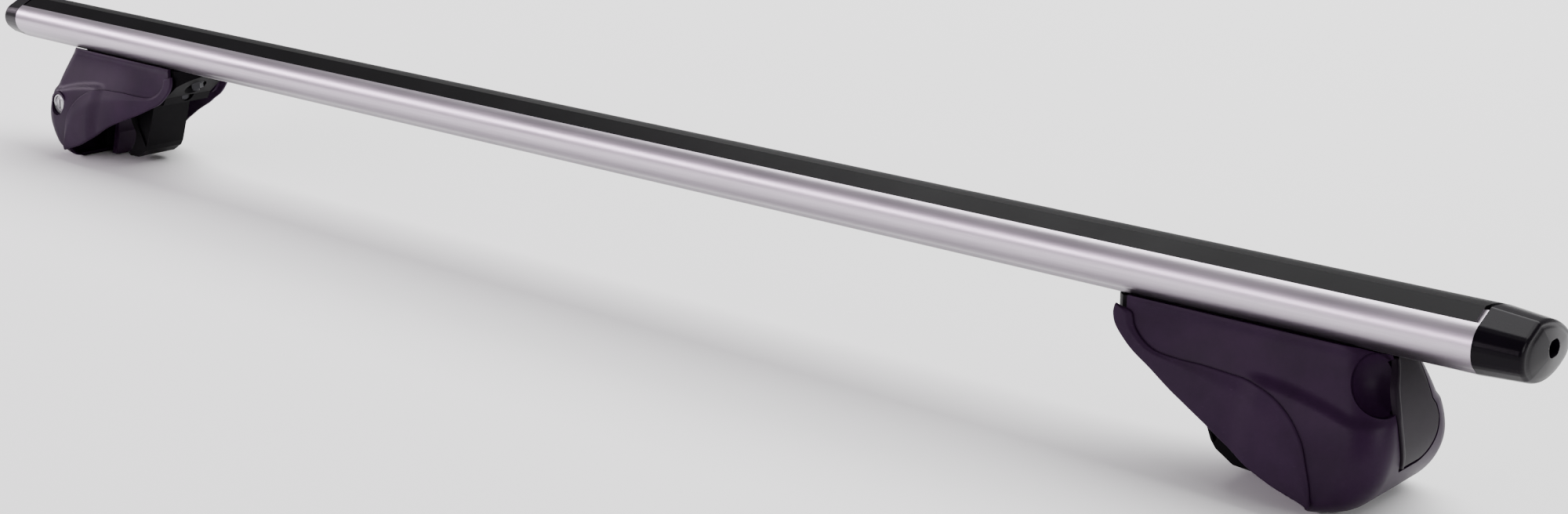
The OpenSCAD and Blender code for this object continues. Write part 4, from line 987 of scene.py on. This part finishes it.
class CROSSBAR_OT_caps(bpy.types.Operator):
    """Draw the two end caps"""

    bl_idname = "crossbar.caps"
    bl_label = "End caps"

    def execute(self, context):
        sizes = context.scene.crossbar_sizes
        for word, side in SIDES:
            obj = draw_cap(sizes, word, side)
            obj.name = f"{word}_end_cap_surface"
            obj.data.materials.clear()
            obj.data.materials.append(material_named("cap_plastic"))
            finish_mesh(obj, 30)
            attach(obj, "bar")
            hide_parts(f"{word}_end_cap")
        return {"FINISHED"}


class CROSSBAR_OT_housings(bpy.types.Operator):
    """Draw the two foot housings"""

    bl_idname = "crossbar.housings"
    bl_label = "Foot housings"

    def execute(self, context):
        sizes = context.scene.crossbar_sizes
        place_on_feet(draw_housing(sizes), sizes, SIDES, "housing", "foot", "housing_plastic")
        return {"FINISHED"}


class CROSSBAR_OT_skirts(bpy.types.Operator):
    """Draw the four soft skirts"""

    bl_idname = "crossbar.skirts"
    bl_label = "Skirts"

    def execute(self, context):
        sizes = context.scene.crossbar_sizes
        for piece, side in (("front_skirt", -1.0), ("rear_skirt", 1.0)):
            for pair in SIDES:
                obj = draw_skirt(sizes, side * pair[1])
                place_on_feet(obj, sizes, (pair,), piece, "foot", "skirt_rubber")
        return {"FINISHED"}


class CROSSBAR_OT_lids(bpy.types.Operator):
    """Draw the two access lids"""

    bl_idname = "crossbar.lids"
    bl_label = "Access lids"

    def execute(self, context):
        sizes = context.scene.crossbar_sizes
        place_on_feet(draw_lid(sizes), sizes, SIDES, "access_lid", "lid", "lid_plastic")
        return {"FINISHED"}


class CROSSBAR_OT_locks(bpy.types.Operator):
    """Draw the two lock barrels"""

    bl_idname = "crossbar.locks"
    bl_label = "Locks"

    def execute(self, context):
        sizes = context.scene.crossbar_sizes
        place_on_feet(draw_lock(sizes), sizes, SIDES, "lock_cylinder", "lock", "lock_chrome")
        return {"FINISHED"}


# Name, place, aim, size, power and colour of each light
LIGHTS = (
    ("overhead", (0.0, 2.0, 3.2), (0.0, 0.2, 0.0), (6.5, 3.4), 470, (1, 1, 1)),
    ("key", (-1.4, -1.5, 0.8), (-0.2, 0.0, 0.08), (4.4, 0.26), 48, (1.0, 0.86, 1.0)),
    ("side", (2.3, -0.3, 0.7), (0.5, 0.0, 0.05), (0.9, 0.7), 14, (1, 1, 1)),
)
WORLD_STRENGTH = 0.3
# Half width of the floor, and how far it lies below the feet
FLOOR_HALF, FLOOR_GAP = 6, 0.0005
# The camera, fitted to the edges in the photo
LENS, SENSOR = 52.21, 36.0
CAMERA_PLACE = (1.0046, -0.9265, 0.410)
CAMERA_PITCH, CAMERA_YAW = -0.28361, 0.73137


def area_light(name, place, aim, size, power, colour):
    """A soft rectangular light aimed at a point."""
    data = bpy.data.lights.new(name, "AREA")
    data.shape = "RECTANGLE"
    data.size, data.size_y = size
    data.energy = power
    data.color = colour
    light = bpy.data.objects.new(name, data)
    bpy.context.scene.collection.objects.link(light)
    direction = np.array(aim, float) - np.array(place, float)
    yaw = math.atan2(direction[1], direction[0]) - math.pi / 2
    pitch = math.atan2(direction[2], math.hypot(direction[0], direction[1]))
    light.location = place
    light.rotation_euler = (math.pi / 2 + pitch, 0, yaw)


def draw_floor(tone):
    """The pale floor, faintly clouded."""
    half, level = FLOOR_HALF, -FLOOR_GAP
    corners = [(-half, -half, level), (half, -half, level), (half, half, level), (-half, half, level)]
    floor = new_object("studio_floor", np.array(corners, float), [(0, 1, 2, 3)])
    material, tree, shader, coords = node_graph("finish_floor")
    cloud = noise(tree, coords, 3, 2)
    shade = tuple(c * 0.985 for c in tone)
    tree.links.new(blend_colour(tree, cloud, shade, tone), shader.inputs["Base Color"])
    shader.inputs["Roughness"].default_value = 0.8
    floor.data.materials.append(material)


class CROSSBAR_OT_stage(bpy.types.Operator):
    """Set up the floor, the soft lights and the camera at the photo's angle"""

    bl_idname = "crossbar.stage"
    bl_label = "Studio"

    def execute(self, context):
        scene = context.scene
        draw_floor(tuple(scene.crossbar_colours.floor))
        world = bpy.data.worlds.new("studio")
        world.use_nodes = True
        background = world.node_tree.nodes["Background"]
        background.inputs["Color"].default_value = (1, 1, 1, 1)
        background.inputs["Strength"].default_value = WORLD_STRENGTH
        scene.world = world
        for light in LIGHTS:
            area_light(*light)
        data = bpy.data.cameras.new("photo_camera")
        data.sensor_fit = "HORIZONTAL"
        data.sensor_width = SENSOR
        data.lens = LENS
        data.clip_start = 0.01
        camera = bpy.data.objects.new("photo_camera", data)
        scene.collection.objects.link(camera)
        camera.location = CAMERA_PLACE
        camera.rotation_euler = (math.pi / 2 + CAMERA_PITCH, 0.0, CAMERA_YAW)
        scene.camera = camera
        return {"FINISHED"}


class CROSSBAR_PT_panel(bpy.types.Panel):
    """Sizes, colours and the steps of the build"""

    bl_idname = "CROSSBAR_PT_panel"
    bl_label = "Crossbar"
    bl_space_type = "VIEW_3D"
    bl_region_type = "UI"
    bl_category = "Crossbar"

    def draw(self, context):
        layout = self.layout
        for step in STEPS:
            layout.operator(f"crossbar.{step}")
        for group in (context.scene.crossbar_sizes, context.scene.crossbar_colours):
            box = layout.box()
            for key in group.__annotations__:
                box.prop(group, key)


STEPS = ("frame_nodes", "caps", "housings", "skirts", "lids", "locks", "stage")
CLASSES = (
    CrossbarSizes, CrossbarColours, CROSSBAR_OT_frame_nodes, CROSSBAR_OT_caps, CROSSBAR_OT_housings,
    CROSSBAR_OT_skirts, CROSSBAR_OT_lids, CROSSBAR_OT_locks, CROSSBAR_OT_stage, CROSSBAR_PT_panel,
)


def register():
    """Registers the classes and the scene's settings."""
    for cls in CLASSES:
        bpy.utils.register_class(cls)
    bpy.types.Scene.crossbar_sizes = PointerProperty(type=CrossbarSizes)
    bpy.types.Scene.crossbar_colours = PointerProperty(type=CrossbarColours)


def unregister():
    """Removes what register added."""
    del bpy.types.Scene.crossbar_colours
    del bpy.types.Scene.crossbar_sizes
    for cls in reversed(CLASSES):
        bpy.utils.unregister_class(cls)


def main():
    """Builds everything in order."""
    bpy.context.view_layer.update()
    register()
    for step in STEPS:
        getattr(bpy.ops.crossbar, step)()


if __name__ == "__main__":
    main()
